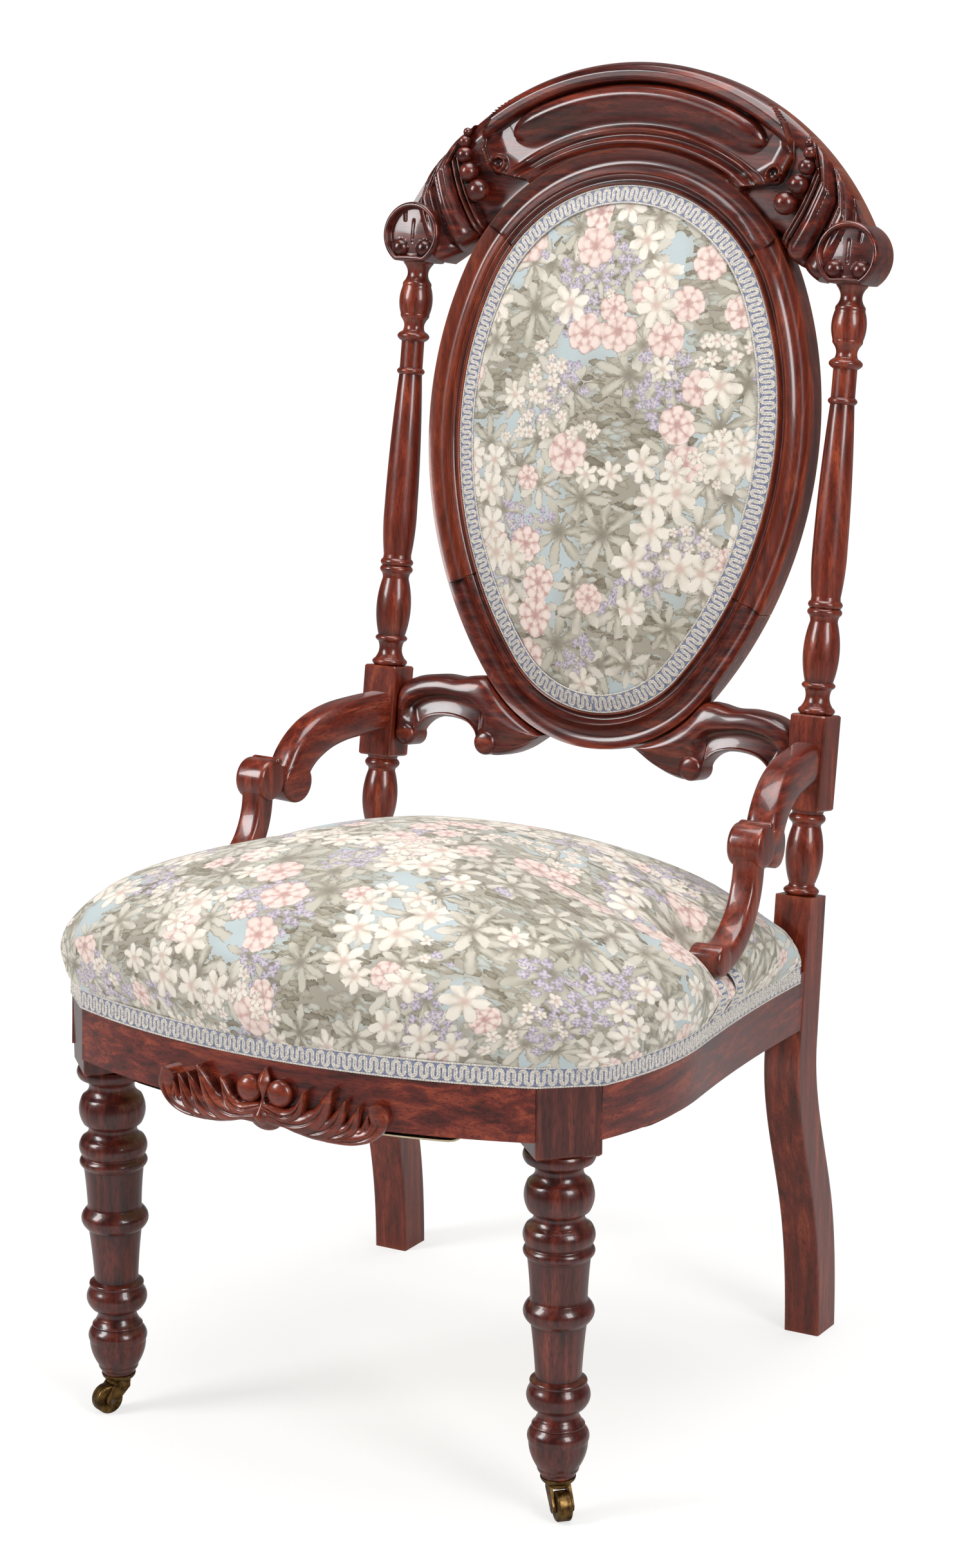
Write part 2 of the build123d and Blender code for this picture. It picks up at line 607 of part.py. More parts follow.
# Arms: a falling bar ending in an under-scroll, butted on the knuckle of its hollow support
arm_seat = 6.0
with BuildPart() as arm_right:
    with BuildSketch(arm_plane):
        with BuildLine():
            brow = ThreePointArc((-arm_seat, arm_height), (0.61 * arm_reach, arm_height - 2.5),
                                 (arm_reach + arm_scroll - 3, arm_height - 32))
            Line(brow @ 1, (arm_reach + arm_scroll, scroll_eye[1]))
            Line((arm_reach + arm_scroll, scroll_eye[1]), scroll_eye)
            Line(scroll_eye, (arm_reach - arm_scroll + 2, scroll_eye[1] + 7))
            ThreePointArc((arm_reach - arm_scroll + 2, scroll_eye[1] + 7),
                          (0.52 * arm_reach, arm_height - arm_depth - 2), (-arm_seat, arm_height - arm_depth))
            Line((-arm_seat, arm_height - arm_depth), (-arm_seat, arm_height))
        make_face()
        with Locations(scroll_eye):
            Circle(arm_scroll)
    extrude(amount=arm_width / 2, both=True)
    add(post_blank.part, mode=Mode.SUBTRACT)
    peg_bores("arm_post", "arm_knuckle")
with BuildPart() as arm_left:
    mirror(arm_right.part, about=Plane.YZ)


def support_band(growth=0.0):
    """Side of the hollow support: a bent band from the knuckle to the rolled foot."""
    half = support_depth / 2 + growth
    with BuildLine() as band:
        outer = CenterArc(support_centre, support_sweep + half, 168, 98)
        inner = CenterArc(support_centre, support_sweep - half, 168, 98)
        Line(outer @ 0, inner @ 0)
        Line(outer @ 1, inner @ 1)
    make_face(band.edges())


with BuildPart() as arm_support_right:
    with BuildSketch(support_plane):
        Circle(knuckle_radius)
    extrude(amount=arm_width / 2, both=True)
    with BuildSketch(support_plane):
        support_band()
    extrude(amount=support_width / 2, both=True)
    with BuildSketch(support_plane):
        with Locations(foot_centre):
            Circle(support_foot)
    extrude(amount=arm_width / 2 - 1, both=True)
    add(arm_right.part, mode=Mode.SUBTRACT)
    with Locations(foot_point + Vector(0, 0, -foot_peg_length / 2)):
        Cylinder(peg_radius, foot_peg_length)
    peg_bores("arm_knuckle")
with BuildPart() as arm_support_left:
    mirror(arm_support_right.part, about=Plane.YZ)

# Applied carving on the front rail: a centre leaf, two scrolls and two tapering leaf arms
carving_half_width = 97.0
carving_thickness = 9.0
carving_gap = 0.1
carving_z = seat_height + seat_front_reach * tilt_sin - 0.7 * rail_depth
with BuildPart() as front_carving:
    carving_face = (0, -seat_front_reach - carving_thickness, carving_z)
    with BuildSketch(Plane(carving_face, x_dir=(1, 0, 0), z_dir=(0, -1, 0))):
        with BuildLine():
            ThreePointArc((0, 24), (13, 2), (0, -26))
            ThreePointArc((0, 24), (-13, 2), (0, -26))
        make_face()
        with Locations((13, 6), (-13, 6)):
            Circle(12)
        for side in (1, -1):
            with BuildLine():
                ThreePointArc((side * 10, -14), (side * 55, -17), (side * carving_half_width, 4))
                ThreePointArc((side * carving_half_width, 4), (side * 70, 2), (side * 44, 8))
                ThreePointArc((side * 44, 8), (side * 30, 12), (side * 10, 4))
                Line((side * 10, 4), (side * 10, -14))
            make_face()
    extrude(amount=-2 * carving_thickness - seat_front_reach / 4)
    with BuildSketch(seat):
        with Locations((0, front_bow - seat_front_reach)):
            Circle(front_bow + carving_thickness)
    extrude(amount=2 * rail_depth, both=True, mode=Mode.INTERSECT)
    with BuildSketch(seat):
        with Locations((0, front_bow - seat_front_reach)):
            Circle(front_bow + carving_gap)
    extrude(amount=2 * rail_depth, both=True, mode=Mode.SUBTRACT)

# Dowels of every glued joint, both sides of the chair
with BuildPart() as dowels:
    for point, way in pegs.values():
        with Locations(Plane(point, z_dir=way)):
            Cylinder(peg_radius, peg_length)
    mirror(about=Plane.YZ)

# Seat foundation: webbing and a base cloth under the rails, a canvas over them
web_gap = 0.2
base_inset = 5.0
base_thickness = 1.0
with BuildPart() as webbing_long:
    with BuildSketch(seat.offset(-rail_depth)):
        with Locations(*[(x, (back_rail_y - seat_front_reach + rail_thickness) / 2) for x in web_columns]):
            Rectangle(web_width, back_rail_y + seat_front_reach - rail_thickness)
    extrude(amount=-web_thickness)
with BuildPart() as webbing_cross:
    with BuildSketch(seat.offset(-rail_depth - web_thickness - web_gap)):
        with Locations(*[(0, y) for y in web_rows]):
            Rectangle(2 * (post_outer - rail_thickness / 2), web_width)
    extrude(amount=-web_thickness)
with BuildPart() as seat_canvas:
    with BuildSketch(seat):
        seat_outline(back_rail_y + rail_thickness / 2)
        offset(amount=-4, kind=Kind.INTERSECTION)
    extrude(amount=canvas_thickness)
    with BuildSketch(Plane.YZ.offset(post_inner - cover_gap)):
        sabre_profile()
        offset(amount=cover_gap)
    extrude(amount=post_square * 2, mode=Mode.SUBTRACT)
    with BuildSketch(Plane.YZ.offset(cover_gap - post_inner)):
        sabre_profile()
        offset(amount=cover_gap)
    extrude(amount=-post_square * 2, mode=Mode.SUBTRACT)
    for side in (1, -1):
        with Locations(Vector(side * foot_point.X, foot_point.Y, foot_point.Z - foot_peg_length / 2)):
            Cylinder(peg_radius + cover_gap, foot_peg_length + 2 * peg_end_gap, mode=Mode.SUBTRACT)

with BuildPart() as base_cloth:
    with BuildSketch(seat.offset(-rail_depth - 2 * (web_thickness + web_gap))):
        seat_outline(back_rail_y + rail_thickness / 2)
        offset(amount=-base_inset, kind=Kind.INTERSECTION)
        with Locations((post_x, back_rail_y), (-post_x, back_rail_y)):
            Rectangle(post_square + 2 * cover_gap, 2 * post_square, mode=Mode.SUBTRACT)
    extrude(amount=-base_thickness)
    cut_leg_blocks(cover_gap)
    add(corner_blocks.part, mode=Mode.SUBTRACT)

# Stuffed-over seat: crowned, drawn in at the braid, cut round the posts and the arm supports
pad_centre_y = 40.0
pad_rings = ((canvas_thickness, 0.985), (10.0, 0.99), (0.25 * crown_height, 1.03),
             (0.5 * crown_height, 1.0), (0.72 * crown_height, 0.89), (0.9 * crown_height, 0.72))
with BuildPart() as seat_pad:
    for height, size in pad_rings:
        with BuildSketch(seat.offset(height)):
            seat_outline(back_rail_y + rail_thickness / 2)
            scale(by=size, about=(0, pad_centre_y, 0))
    loft()
    with Locations(on_seat(0, crown_y, crown_height - crown_radius)):
        Sphere(crown_radius, mode=Mode.INTERSECT)
    for side in (1, -1):
        with BuildSketch(Plane.YZ.offset(side * (post_inner - cover_gap))):
            sabre_profile()
            offset(amount=cover_gap)
        extrude(amount=side * post_square * 2, mode=Mode.SUBTRACT)
    inner_face = support_plane.offset(arm_width / 2 + cover_gap)
    with BuildSketch(inner_face):
        support_band(cover_gap)
        with Locations(foot_centre):
            Circle(support_foot + cover_gap)
    clearing = extrude(amount=-2 * arm_width - 20, mode=Mode.SUBTRACT)
    mirror(clearing, about=Plane.YZ, mode=Mode.SUBTRACT)
    for side in (1, -1):
        with Locations(Vector(side * foot_point.X, foot_point.Y, foot_point.Z - foot_peg_length / 2)):
            Cylinder(peg_radius + cover_gap, foot_peg_length + 2 * peg_end_gap, mode=Mode.SUBTRACT)

with BuildPart() as seat_braid:
    with BuildSketch(seat.offset(-braid_width / 2)):
        seat_outline(post_y + 2 * post_square)
        offset(amount=cover_gap + braid_thickness)
        seat_outline_cut = offset(amount=-braid_thickness, mode=Mode.PRIVATE)
        add(seat_outline_cut, mode=Mode.SUBTRACT)
        with Locations((0, knee_y - 2 * swell_half_width)):
            Rectangle(4 * swell_half_width, 4 * swell_half_width, mode=Mode.INTERSECT)
    extrude(amount=braid_width)

# Padded back: canvas on the rebate, domed pad, braid over its edge, cloth behind
with BuildPart() as back_canvas:
    with BuildSketch(back.offset(oval_floor)):
        egg(-cover_gap)
    extrude(amount=canvas_thickness)
pad_base = oval_floor + canvas_thickness
pad_edge = pad_base + 3.5
dome_rings = ((pad_edge, 0.885), (pad_edge + 0.45 * (back_crown - pad_edge), 0.80),
              (pad_edge + 0.8 * (back_crown - pad_edge), 0.6), (back_crown, 0.3))
with BuildPart() as back_pad:
    with BuildSketch(back.offset(pad_base)):
        egg(-cover_gap)
    extrude(amount=pad_edge - pad_base)
    for depth, size in dome_rings:
        with BuildSketch(back.offset(depth)):
            egg(size=size)
    loft()
with BuildPart() as back_braid:
    with BuildSketch(back.offset(pad_edge + 0.1)):
        egg(-cover_gap)
        offset(amount=-braid_width + 1, mode=Mode.SUBTRACT)
    extrude(amount=braid_thickness)
with BuildPart() as back_cloth:
    with BuildSketch(back.offset(oval_back)):
        egg(0.3 * oval_width)
    extrude(amount=-canvas_thickness)


# Casters: dished plate under the foot, riveted stem, turning horn and a wheel on its axle
plate_bottom = crown_bottom + crown_thickness + running_gap
rivet_radius = 4.0
rivet_height = 2.0
cheek_gap = 0.5
horn_radius = 9.2
cheek_offset = wheel_width / 2 + cheek_gap


def caster(x, turn):
    """Five pieces of one caster, its wheel trailing towards the given heading."""
    way = Vector(cos(radians(turn)), sin(radians(turn)), 0)
    upright = Plane((x, leg_y, 0), x_dir=way, z_dir=way.cross(Vector(0, 0, 1)))
    stem_line = Axis((x, leg_y, 0), (0, 0, 1))
    axle_point = upright.from_local_coords(Vector(caster_trail, wheel_radius, 0))
    with BuildPart() as plate:
        with BuildSketch(upright):
            with BuildLine():
                Line((stem_radius + 0.1, plate_bottom), (horn_radius, plate_bottom))
                ThreePointArc((horn_radius, plate_bottom), (leg_foot_radius - 1.2, plate_bottom + 1.6),
                              (leg_foot_radius, leg_foot))
                Line((leg_foot_radius, leg_foot), (stem_radius + 0.1, leg_foot))
                Line((stem_radius + 0.1, leg_foot), (stem_radius + 0.1, plate_bottom))
            make_face()
        revolve(axis=stem_line)
    with BuildPart() as stem:
        with BuildSketch(upright):
            with BuildLine():
                rivet_top = crown_bottom - running_gap
                Polyline((0, rivet_top - rivet_height), (rivet_radius, rivet_top - rivet_height),
                         (rivet_radius, rivet_top), (stem_radius, rivet_top), (stem_radius, stem_top),
                         (0, stem_top), close=True)
            make_face()
        revolve(axis=stem_line)
    with BuildPart() as horn:
        with BuildSketch(Plane((x, leg_y, crown_bottom), x_dir=way)):
            Circle(horn_radius)
        extrude(amount=crown_thickness)
        with BuildSketch(upright):
            with BuildLine():
                Polyline((-5.5, crown_bottom + crown_thickness), (5.6, crown_bottom + crown_thickness),
                         (caster_trail + 4.2, wheel_radius + 2.4), (caster_trail - 4.2, wheel_radius - 2.4),
                         (-5.5, crown_bottom - 3), close=True)
            make_face()
            with Locations((caster_trail, wheel_radius)):
                Circle(4.8)
        extrude(amount=cheek_offset + cheek_thickness, both=True)
        with BuildSketch(upright):
            with Locations((caster_trail / 2, crown_bottom / 2)):
                Rectangle(4 * wheel_radius, crown_bottom)
        extrude(amount=cheek_offset, both=True, mode=Mode.SUBTRACT)
        with Locations((x, leg_y, crown_bottom)):
            Cylinder(stem_radius + running_gap, 4 * crown_thickness, mode=Mode.SUBTRACT)
        with Locations(Plane(axle_point, z_dir=upright.z_dir)):
            Cylinder(axle_radius + 0.05, 4 * wheel_width, mode=Mode.SUBTRACT)
    with BuildPart() as wheel:
        with Locations(Plane(axle_point, z_dir=upright.z_dir)):
            Cylinder(wheel_radius, wheel_width)
            fillet(edges().filter_by(GeomType.CIRCLE), 1.6)
            Cylinder(axle_radius + running_gap, 2 * wheel_width, mode=Mode.SUBTRACT)
    with BuildPart() as axle:
        with Locations(Plane(axle_point, z_dir=upright.z_dir)):
            Cylinder(axle_radius, 2 * (cheek_offset + cheek_thickness) + 0.8)
    return {"plate": plate, "stem": stem, "horn": horn, "wheel": wheel, "axle": axle}


for side, x, turn in (("right", leg_x, caster_turn_right), ("left", -leg_x, caster_turn_left)):
    for piece, built in caster(x, turn).items():
        export(built, f"caster_{piece}_{side}")

chair = {
    "front_rail": front_rail, "side_rail_right": side_rail_right, "side_rail_left": side_rail_left,
    "back_rail": back_rail, "front_leg_right": front_leg_right, "front_leg_left": front_leg_left,
    "back_post_right": back_post_right, "back_post_left": back_post_left, "corner_blocks": corner_blocks,
    "crest_rail": crest_rail, "oval_side_right": oval_side_right, "oval_side_left": oval_side_left,
    "oval_bottom": oval_bottom, "back_bracket_right": back_bracket_right,
    "back_bracket_left": back_bracket_left,
    "arm_right": arm_right, "arm_left": arm_left, "arm_support_right": arm_support_right,
    "arm_support_left": arm_support_left, "front_carving": front_carving, "dowels": dowels,
    "webbing_long": webbing_long, "webbing_cross": webbing_cross, "seat_canvas": seat_canvas,
    "base_cloth": base_cloth,
    "seat_pad": seat_pad, "seat_braid": seat_braid, "back_canvas": back_canvas, "back_pad": back_pad,
    "back_braid": back_braid, "back_cloth": back_cloth}
for name, piece in chair.items():
    export(piece, name)
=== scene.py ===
import math

import bmesh
import bpy
import numpy as np
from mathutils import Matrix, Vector


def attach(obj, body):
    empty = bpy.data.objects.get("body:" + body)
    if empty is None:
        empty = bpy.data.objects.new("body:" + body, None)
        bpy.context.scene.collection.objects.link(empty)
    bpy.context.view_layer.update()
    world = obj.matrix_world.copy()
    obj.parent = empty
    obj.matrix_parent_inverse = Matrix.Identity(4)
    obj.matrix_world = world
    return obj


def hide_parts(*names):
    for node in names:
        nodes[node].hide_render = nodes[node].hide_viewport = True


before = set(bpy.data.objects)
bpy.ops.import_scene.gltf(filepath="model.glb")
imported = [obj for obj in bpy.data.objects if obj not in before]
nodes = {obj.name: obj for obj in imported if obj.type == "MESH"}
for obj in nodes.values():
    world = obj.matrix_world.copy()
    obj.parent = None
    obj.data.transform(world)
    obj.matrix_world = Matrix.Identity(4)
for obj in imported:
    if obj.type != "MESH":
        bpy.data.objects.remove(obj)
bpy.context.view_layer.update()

# Front legs. Mahogany, each turned in one piece below a square block that stands cornerwise in the seat
# frame. Beads, coves and tapers run down to a ball foot, all French-polished dark red-brown.


def colour(code):
    """Linear colour with alpha of an sRGB hex code."""
    srgb = np.array([int(code[i:i + 2], 16) for i in (1, 3, 5)]) / 255
    linear = np.where(srgb <= 0.04045, srgb / 12.92, ((srgb + 0.055) / 1.055) ** 2.4)
    return (*linear.tolist(), 1.0)


def add_node(tree, kind, inputs=(), **settings):
    """Adds one shader node, or fills in one that is there. An input is a socket with its value, the output
    that feeds it or the node whose first live output does."""
    made = kind if isinstance(kind, bpy.types.Node) else tree.nodes.new("ShaderNode" + kind)
    for key, value in settings.items():
        setattr(made, key, value)
    for socket, value in dict(inputs).items():
        if isinstance(value, bpy.types.Node):
            value = next(output for output in value.outputs if output.enabled)
        if isinstance(value, bpy.types.NodeSocket):
            tree.links.new(value, made.inputs[socket])
        else:
            made.inputs[socket].default_value = value
    return made


def ramp_node(tree, value, *stops):
    """Adds a colour ramp over a value. A stop is a place and a colour code, the first and the last stop
    before those between them."""
    made = add_node(tree, "ValToRGB", {"Fac": value})
    for step, (place, code) in enumerate(stops):
        stop = made.color_ramp.elements[step] if step < 2 else made.color_ramp.elements.new(place)
        stop.position = place
        stop.color = colour(code)
    return made


def number_node(tree, operation, *values):
    """Adds one step of arithmetic on numbers."""
    return add_node(tree, "Math", dict(enumerate(values)), operation=operation)


def vector_node(tree, operation, *values):
    """Adds one step of arithmetic on vectors."""
    return add_node(tree, "VectorMath", dict(enumerate(values)), operation=operation)


def mix_node(tree, share, under, over, how="MIX"):
    """Adds a mix of two colours, the second laid over the first by its share."""
    return add_node(tree, "Mix", {0: share, 6: under, 7: over}, data_type="RGBA", blend_type=how)


def new_material(name):
    """An empty material, its node tree and its shader."""
    material = bpy.data.materials.new(name)
    material.use_nodes = True
    return material, material.node_tree, material.node_tree.nodes["Principled BSDF"]


def mahogany(name, along, warmth=0.0, tones=("#3b1009", "#661f13", "#943f20"), carved=1.0):
    """French-polished mahogany: broad dark bands and short open pores stretched along one axis, under a
    thin glossy film of shellac. Carved work also has painted shade in its hollows, and its edges are
    lightened, partly for wear and partly as a painted highlight."""
    material, tree, shader = new_material(name)
    place = add_node(tree, "TexCoord").outputs["Object"]
    band_width, band_length = 0.007, 0.11
    pore_width, pore_length = 0.0009, 0.009  # real pores are finer, drawn wide enough to show
    bands = add_node(tree, "Mapping", {"Vector": place, "Scale": [
        1 / (band_length if axis == along else band_width) for axis in "XYZ"]})
    figure = add_node(tree, "TexNoise", {"Vector": bands, "Scale": 1.0, "Detail": 3.0,
                                         "Roughness": 0.55, "Distortion": 0.5})
    streaks = add_node(tree, "Mapping", {"Vector": place, "Scale": [
        1 / (pore_length if axis == along else pore_width) for axis in "XYZ"]})
    pores = add_node(tree, "TexNoise", {"Vector": streaks, "Scale": 1.0, "Detail": 2.0})
    wood = ramp_node(tree, figure, (0.30, tones[0]), (0.76, tones[2]), (0.52, tones[1]))
    open_pores = ramp_node(tree, pores, (0.34, "#87685c"), (0.50, "#ffffff"))
    grained = mix_node(tree, 0.75, wood, open_pores, "MULTIPLY")
    warm = mix_node(tree, warmth, grained, colour("#9a4a26"))
    edge = add_node(tree, "NewGeometry").outputs["Pointiness"]
    # painted shade: the colour is darkened in hollows, where the pointiness is low
    hollow_shade = ramp_node(tree, edge, (0.42, "#2e1f1c"), (0.50, "#ffffff"))
    hollow_shaded = mix_node(tree, 0.85 * carved, warm, hollow_shade, "MULTIPLY")
    # edge wear and painted highlight: the colour is lightened on sharp edges, where the pointiness is high
    rubbed_and_highlit = add_node(tree, "MapRange", {"Value": edge, "From Min": 0.53, "From Max": 0.62,
                                       "To Max": 0.4 * carved})
    # the wood's colour with the painted hollow shade, the edge wear and the painted edge highlight
    shaded_highlit_and_worn = mix_node(tree, rubbed_and_highlit, hollow_shaded, colour("#a4552c"))
    polish = add_node(tree, "MapRange", {"Value": figure, "To Min": 0.24, "To Max": 0.38})
    relief = add_node(tree, "Bump", {"Height": pores, "Strength": 0.12, "Distance": 0.0004})
    add_node(tree, shader, {"Base Color": shaded_highlit_and_worn, "Roughness": polish, "Normal": relief, "IOR": 1.5,
                            "Coat Weight": 0.5, "Coat Roughness": 0.07})
    return material


def grid_quads(index):
    """Faces of a grid of point numbers: each one goes round four neighbours."""
    return np.stack([index[:-1, :-1], index[1:, :-1], index[1:, 1:], index[:-1, 1:]], -1).reshape(-1, 4)


def new_object(name, data):
    """An object at the origin, in the scene."""
    made = bpy.data.objects.new(name, data)
    bpy.context.scene.collection.objects.link(made)
    return made


def add_piece(name, grids, material, sharp=38, rings=True):
    """One object from grids of points in millimetres, in place of the CAD node of its name. The rows of a
    grid are rings, except in a sheet. Points that meet are welded and faces turned outwards."""
    points, quads, start = [], [], 0
    for grid in grids:
        index = start + np.arange(grid.shape[0] * grid.shape[1]).reshape(grid.shape[:2])
        start += index.size
        quads.append(grid_quads(np.hstack([index, index[:, :1]]) if rings else index))
        points.append(grid.reshape(-1, 3))
    mesh = bpy.data.meshes.new(name)
    mesh.from_pydata((np.concatenate(points) * 0.001).tolist(), [], np.concatenate(quads).tolist())
    welded = bmesh.new()
    welded.from_mesh(mesh)
    bmesh.ops.remove_doubles(welded, verts=welded.verts, dist=2e-6)
    bmesh.ops.dissolve_degenerate(welded, edges=welded.edges, dist=1e-6)
    bmesh.ops.recalc_face_normals(welded, faces=welded.faces)
    welded.to_mesh(mesh)
    welded.free()
    mesh.shade_smooth()
    mesh.set_sharp_from_angle(angle=math.radians(sharp))
    mesh.materials.append(material)
    piece = new_object(name, mesh)
    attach(piece, "chair")
    if name in nodes:
        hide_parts(name)
    return piece


def turned_profile(start, end, radius, steps):
    """Radius and height along a turning, closed on its axis at both ends. Each step is its length, its
    end radius and its swell: a straight taper plus a parabola that is the swell high half way."""
    share = np.linspace(0, 1, 13)
    lengths = np.array([step[0] for step in steps]) * (end - start) / sum(step[0] for step in steps)
    heights = start + np.concatenate([[0], np.cumsum(lengths)])
    rows = [[[0, start]]]
    for (_, end_radius, swell), low, length in zip(steps, heights, lengths):
        bow = radius + (end_radius - radius) * share + 4 * swell * share * (1 - share)
        rows.append(np.stack([bow, low + length * share], axis=-1))
        radius = end_radius
    return np.concatenate([*rows, [[0, end]]])


def circle(turn):
    """Points of the unit circle at turns in radians."""
    return np.stack([np.cos(turn), np.sin(turn)], -1)


def unit(rows):
    """Rows of vectors, each made one long."""
    return rows / np.linalg.norm(rows, axis=1, keepdims=True)


def lengths_along(points):
    """Length run along a row of points, at each of them."""
    return np.concatenate([[0], np.cumsum(np.linalg.norm(np.diff(points, axis=0), axis=1))])


def lathe(profile, origin, axis, across=(1, 0, 0)):
    """Turns a profile of (radius, height) about an axis through the origin, across being where it starts."""
    origin, axis, across = (np.asarray(v, float) for v in (origin, axis, across))
    facets = 72
    angle = np.linspace(0, 2 * math.pi, facets, endpoint=False)[None, :, None]
    spoke = np.cos(angle) * across + np.sin(angle) * np.cross(axis, across)
    return origin + profile[:, None, 1:] * axis + profile[:, None, :1] * spoke


def rounded_square(half_x, half_y, corner, steps=5):
    """Loop round a rectangle whose four corners are quarter circles, with five points along each side."""
    turn = np.linspace(0, math.pi / 2, steps)
    signs = ((1, 1), (-1, 1), (-1, -1), (1, -1))
    corners = [np.stack([sx * (half_x - corner) + corner * np.cos(turn + quarter * math.pi / 2),
                         sy * (half_y - corner) + corner * np.sin(turn + quarter * math.pi / 2)], -1)
               for quarter, (sx, sy) in enumerate(signs)]
    share = np.array([0.08, 0.22, 0.5, 0.78, 0.92])[:, None]
    sides = [first[-1] + (second[0] - first[-1]) * share
             for first, second in zip(corners, corners[1:] + corners[:1])]
    return np.concatenate([part for pair in zip(corners, sides) for part in pair])


seat_height = 333.0
seat_tilt = math.radians(3.0)
leg_x, leg_y = 197.5, -210.0
leg_turnings = (
    (2.5, 13.2, 0.2), (1.2, 14.6, 0.2), (3, 15.6, 0.4), (18, 22, 1.6), (9, 20.6, 1.6), (1.6, 19, 0),
    (1.5, 19.6, 0.3), (4, 16.4, -0.4), (5.5, 15.6, -0.8), (2.2, 19.6, 0), (14.5, 21.2, 3.2), (1.6, 20.4, 0),
    (3, 20.8, 0.7), (1.5, 17, 0), (37, 20.6, -0.4), (1.4, 22.4, 0.2), (13.5, 22.8, 3.6), (1.4, 21.4, 0),
    (1.6, 21, 0), (27, 23.2, -0.3), (1.4, 24.4, 0.2), (6.5, 24.6, 1.9), (1.2, 24, -0.3), (12.5, 24.2, 2.4),
    (1.6, 21.6, 0), (7, 19.4, -1.6), (2.2, 22.8, 0.3), (19, 23.2, 2.8), (1.8, 20.6, 0), (8.5, 18.6, -1.9),
    (2.2, 22.2, 0), (1.2, 25, 0.2), (7.5, 25.6, 1.4))
leg_wood = mahogany("mahogany_leg_grain", "Z", 0.0, ("#2b0c08", "#4e1a13", "#74301f"))
leg_foot, foot_radius = 31.0, 12.4
block_half, block_low, block_round = 25.0, 283.0, 1.6
leg_profile = turned_profile(leg_foot, block_low, foot_radius, leg_turnings)
hands = ((1, "right"), (-1, "left"))
for side, word in hands:
    turning = lathe(leg_profile, (side * leg_x, leg_y, 0), (0, 0, 1))
    square = rounded_square(block_half, block_half, block_round)
    corner = np.stack([square[:, 0] - square[:, 1], square[:, 0] + square[:, 1]], -1) / math.sqrt(2)
    spread = np.array([0, 0.84, 0.94, 1, 1, 1, 1, 1, 1, 0])[:, None, None]
    plan = np.array([side * leg_x, leg_y]) + spread * corner
    top = seat_height - plan[..., 1] * math.tan(seat_tilt) - 0.2
    rise = np.array([0, 0, 0, 1.6, 5, 20, 40, 50, 1e3, 1e3])[:, None]
    block = np.concatenate([plan, np.minimum(block_low + rise, top)[..., None]], axis=-1)
    add_piece("front_leg_" + word, [turning, block], leg_wood, sharp=30)

# Back posts. Mahogany, each in one piece: a sabre leg sawn from the plank, a turned vase, a square block
# that takes the arm and the bracket, and a long turned baluster that stands into the crest.
upright_wood = mahogany("mahogany_upright_grain", "Z", 0.08)
rake = math.radians(8.65)
post_x, post_y, post_datum = 200.0, 189.3, 409.0
right_way = np.array([1.0, 0, 0])
rise_way = np.array([0, math.sin(rake), math.cos(rake)])
front_way = np.array([0, -math.cos(rake), math.sin(rake)])


def on_back(x, height, depth=0.0):
    """Points of the raked back from their width, their height up the rake and their depth to the front."""
    x, height, depth = (np.asarray(v, float)[..., None] for v in (x, height, depth))
    return np.array([0, post_y, post_datum]) + x * right_way + height * rise_way + depth * front_way


def capped(rings):
    """Rings with both ends closed, each by a fan to its middle."""
    ends = rings[[0, -1]].mean(axis=1, keepdims=True) + 0 * rings[[0, -1]]
    return np.concatenate([ends[:1], rings, ends[1:]])


def clamped_spline(at, knots, values, first, last):
    """Smooth curve through the knots with given end slopes: cubic pieces whose slopes at the inner knots
    come from equal bending on both sides."""
    knots, values = np.asarray(knots, float), np.asarray(values, float)
    span, fall = np.diff(knots), np.diff(values) / np.diff(knots)
    slopes = np.array([first, *np.zeros(len(knots) - 2), last], float)
    inner = np.arange(1, len(knots) - 1)
    system = np.diag(2 * (span[:-1] + span[1:]))
    system += np.diag(span[2:], -1) + np.diag(span[:-2], 1) if len(inner) > 1 else 0
    right = 3 * (span[1:] * fall[:-1] + span[:-1] * fall[1:])
    right[0] -= span[1] * first
    right[-1] -= span[-2] * last
    slopes[inner] = np.linalg.solve(system, right)
    piece = np.clip(np.searchsorted(knots, at) - 1, 0, len(span) - 1)
    t = (at - knots[piece]) / span[piece]
    return ((1 + 2 * t) * (1 - t) ** 2 * values[piece] + t ** 2 * (3 - 2 * t) * values[piece + 1]
            + t * (1 - t) * span[piece] * ((1 - t) * slopes[piece] - t * slopes[piece + 1]))


half_post = 15.5
post_leg_top, block_foot, block_head, post_top = -28.3, 40.5, 117.3, 458.2
low_turnings = ((7, 11, 3.4), (4, 11, -0.6), (44, 11.6, 3.7), (3, 12, -0.3), (8, 12.4, 2.6), (2.8, 13, 0))
high_turnings = (
    (6, 12.5, 2.4), (3, 10.8, 0), (11, 11, -1.2), (5.5, 11.4, 2.4), (47, 11.2, 3.4), (5, 12.2, -0.4),
    (6, 12.2, 1.8), (6, 12, 1.8), (3, 11.7, 0), (38, 14, 0.8), (112, 9.7, 1), (5.5, 9.7, 2.1),
    (22, 9.6, 0), (8.5, 9.4, 4.1), (11, 11.6, -1.9), (3, 12.2, 0.3), (23, 12, 2), (3, 11.8, 0.3),
    (15, 12, -3.2), (3.7, 12.4, 0.7), (3.7, 13.4, 0.4))
leg_front = on_back(0, post_leg_top, half_post)
leg_rear = on_back(0, post_leg_top, -half_post)
knee, ankle, foot = (258.0, 154.6, 35.0), (116.0, 188.0, 36.5), (0.0, 202.5, 33.5)
lean = (leg_front[1] - knee[1]) / (leg_front[2] - knee[0])
sabre_rows = 61
height = np.linspace(0, 1, sabre_rows)
front_z, rear_z = height * leg_front[2], height * leg_rear[2]
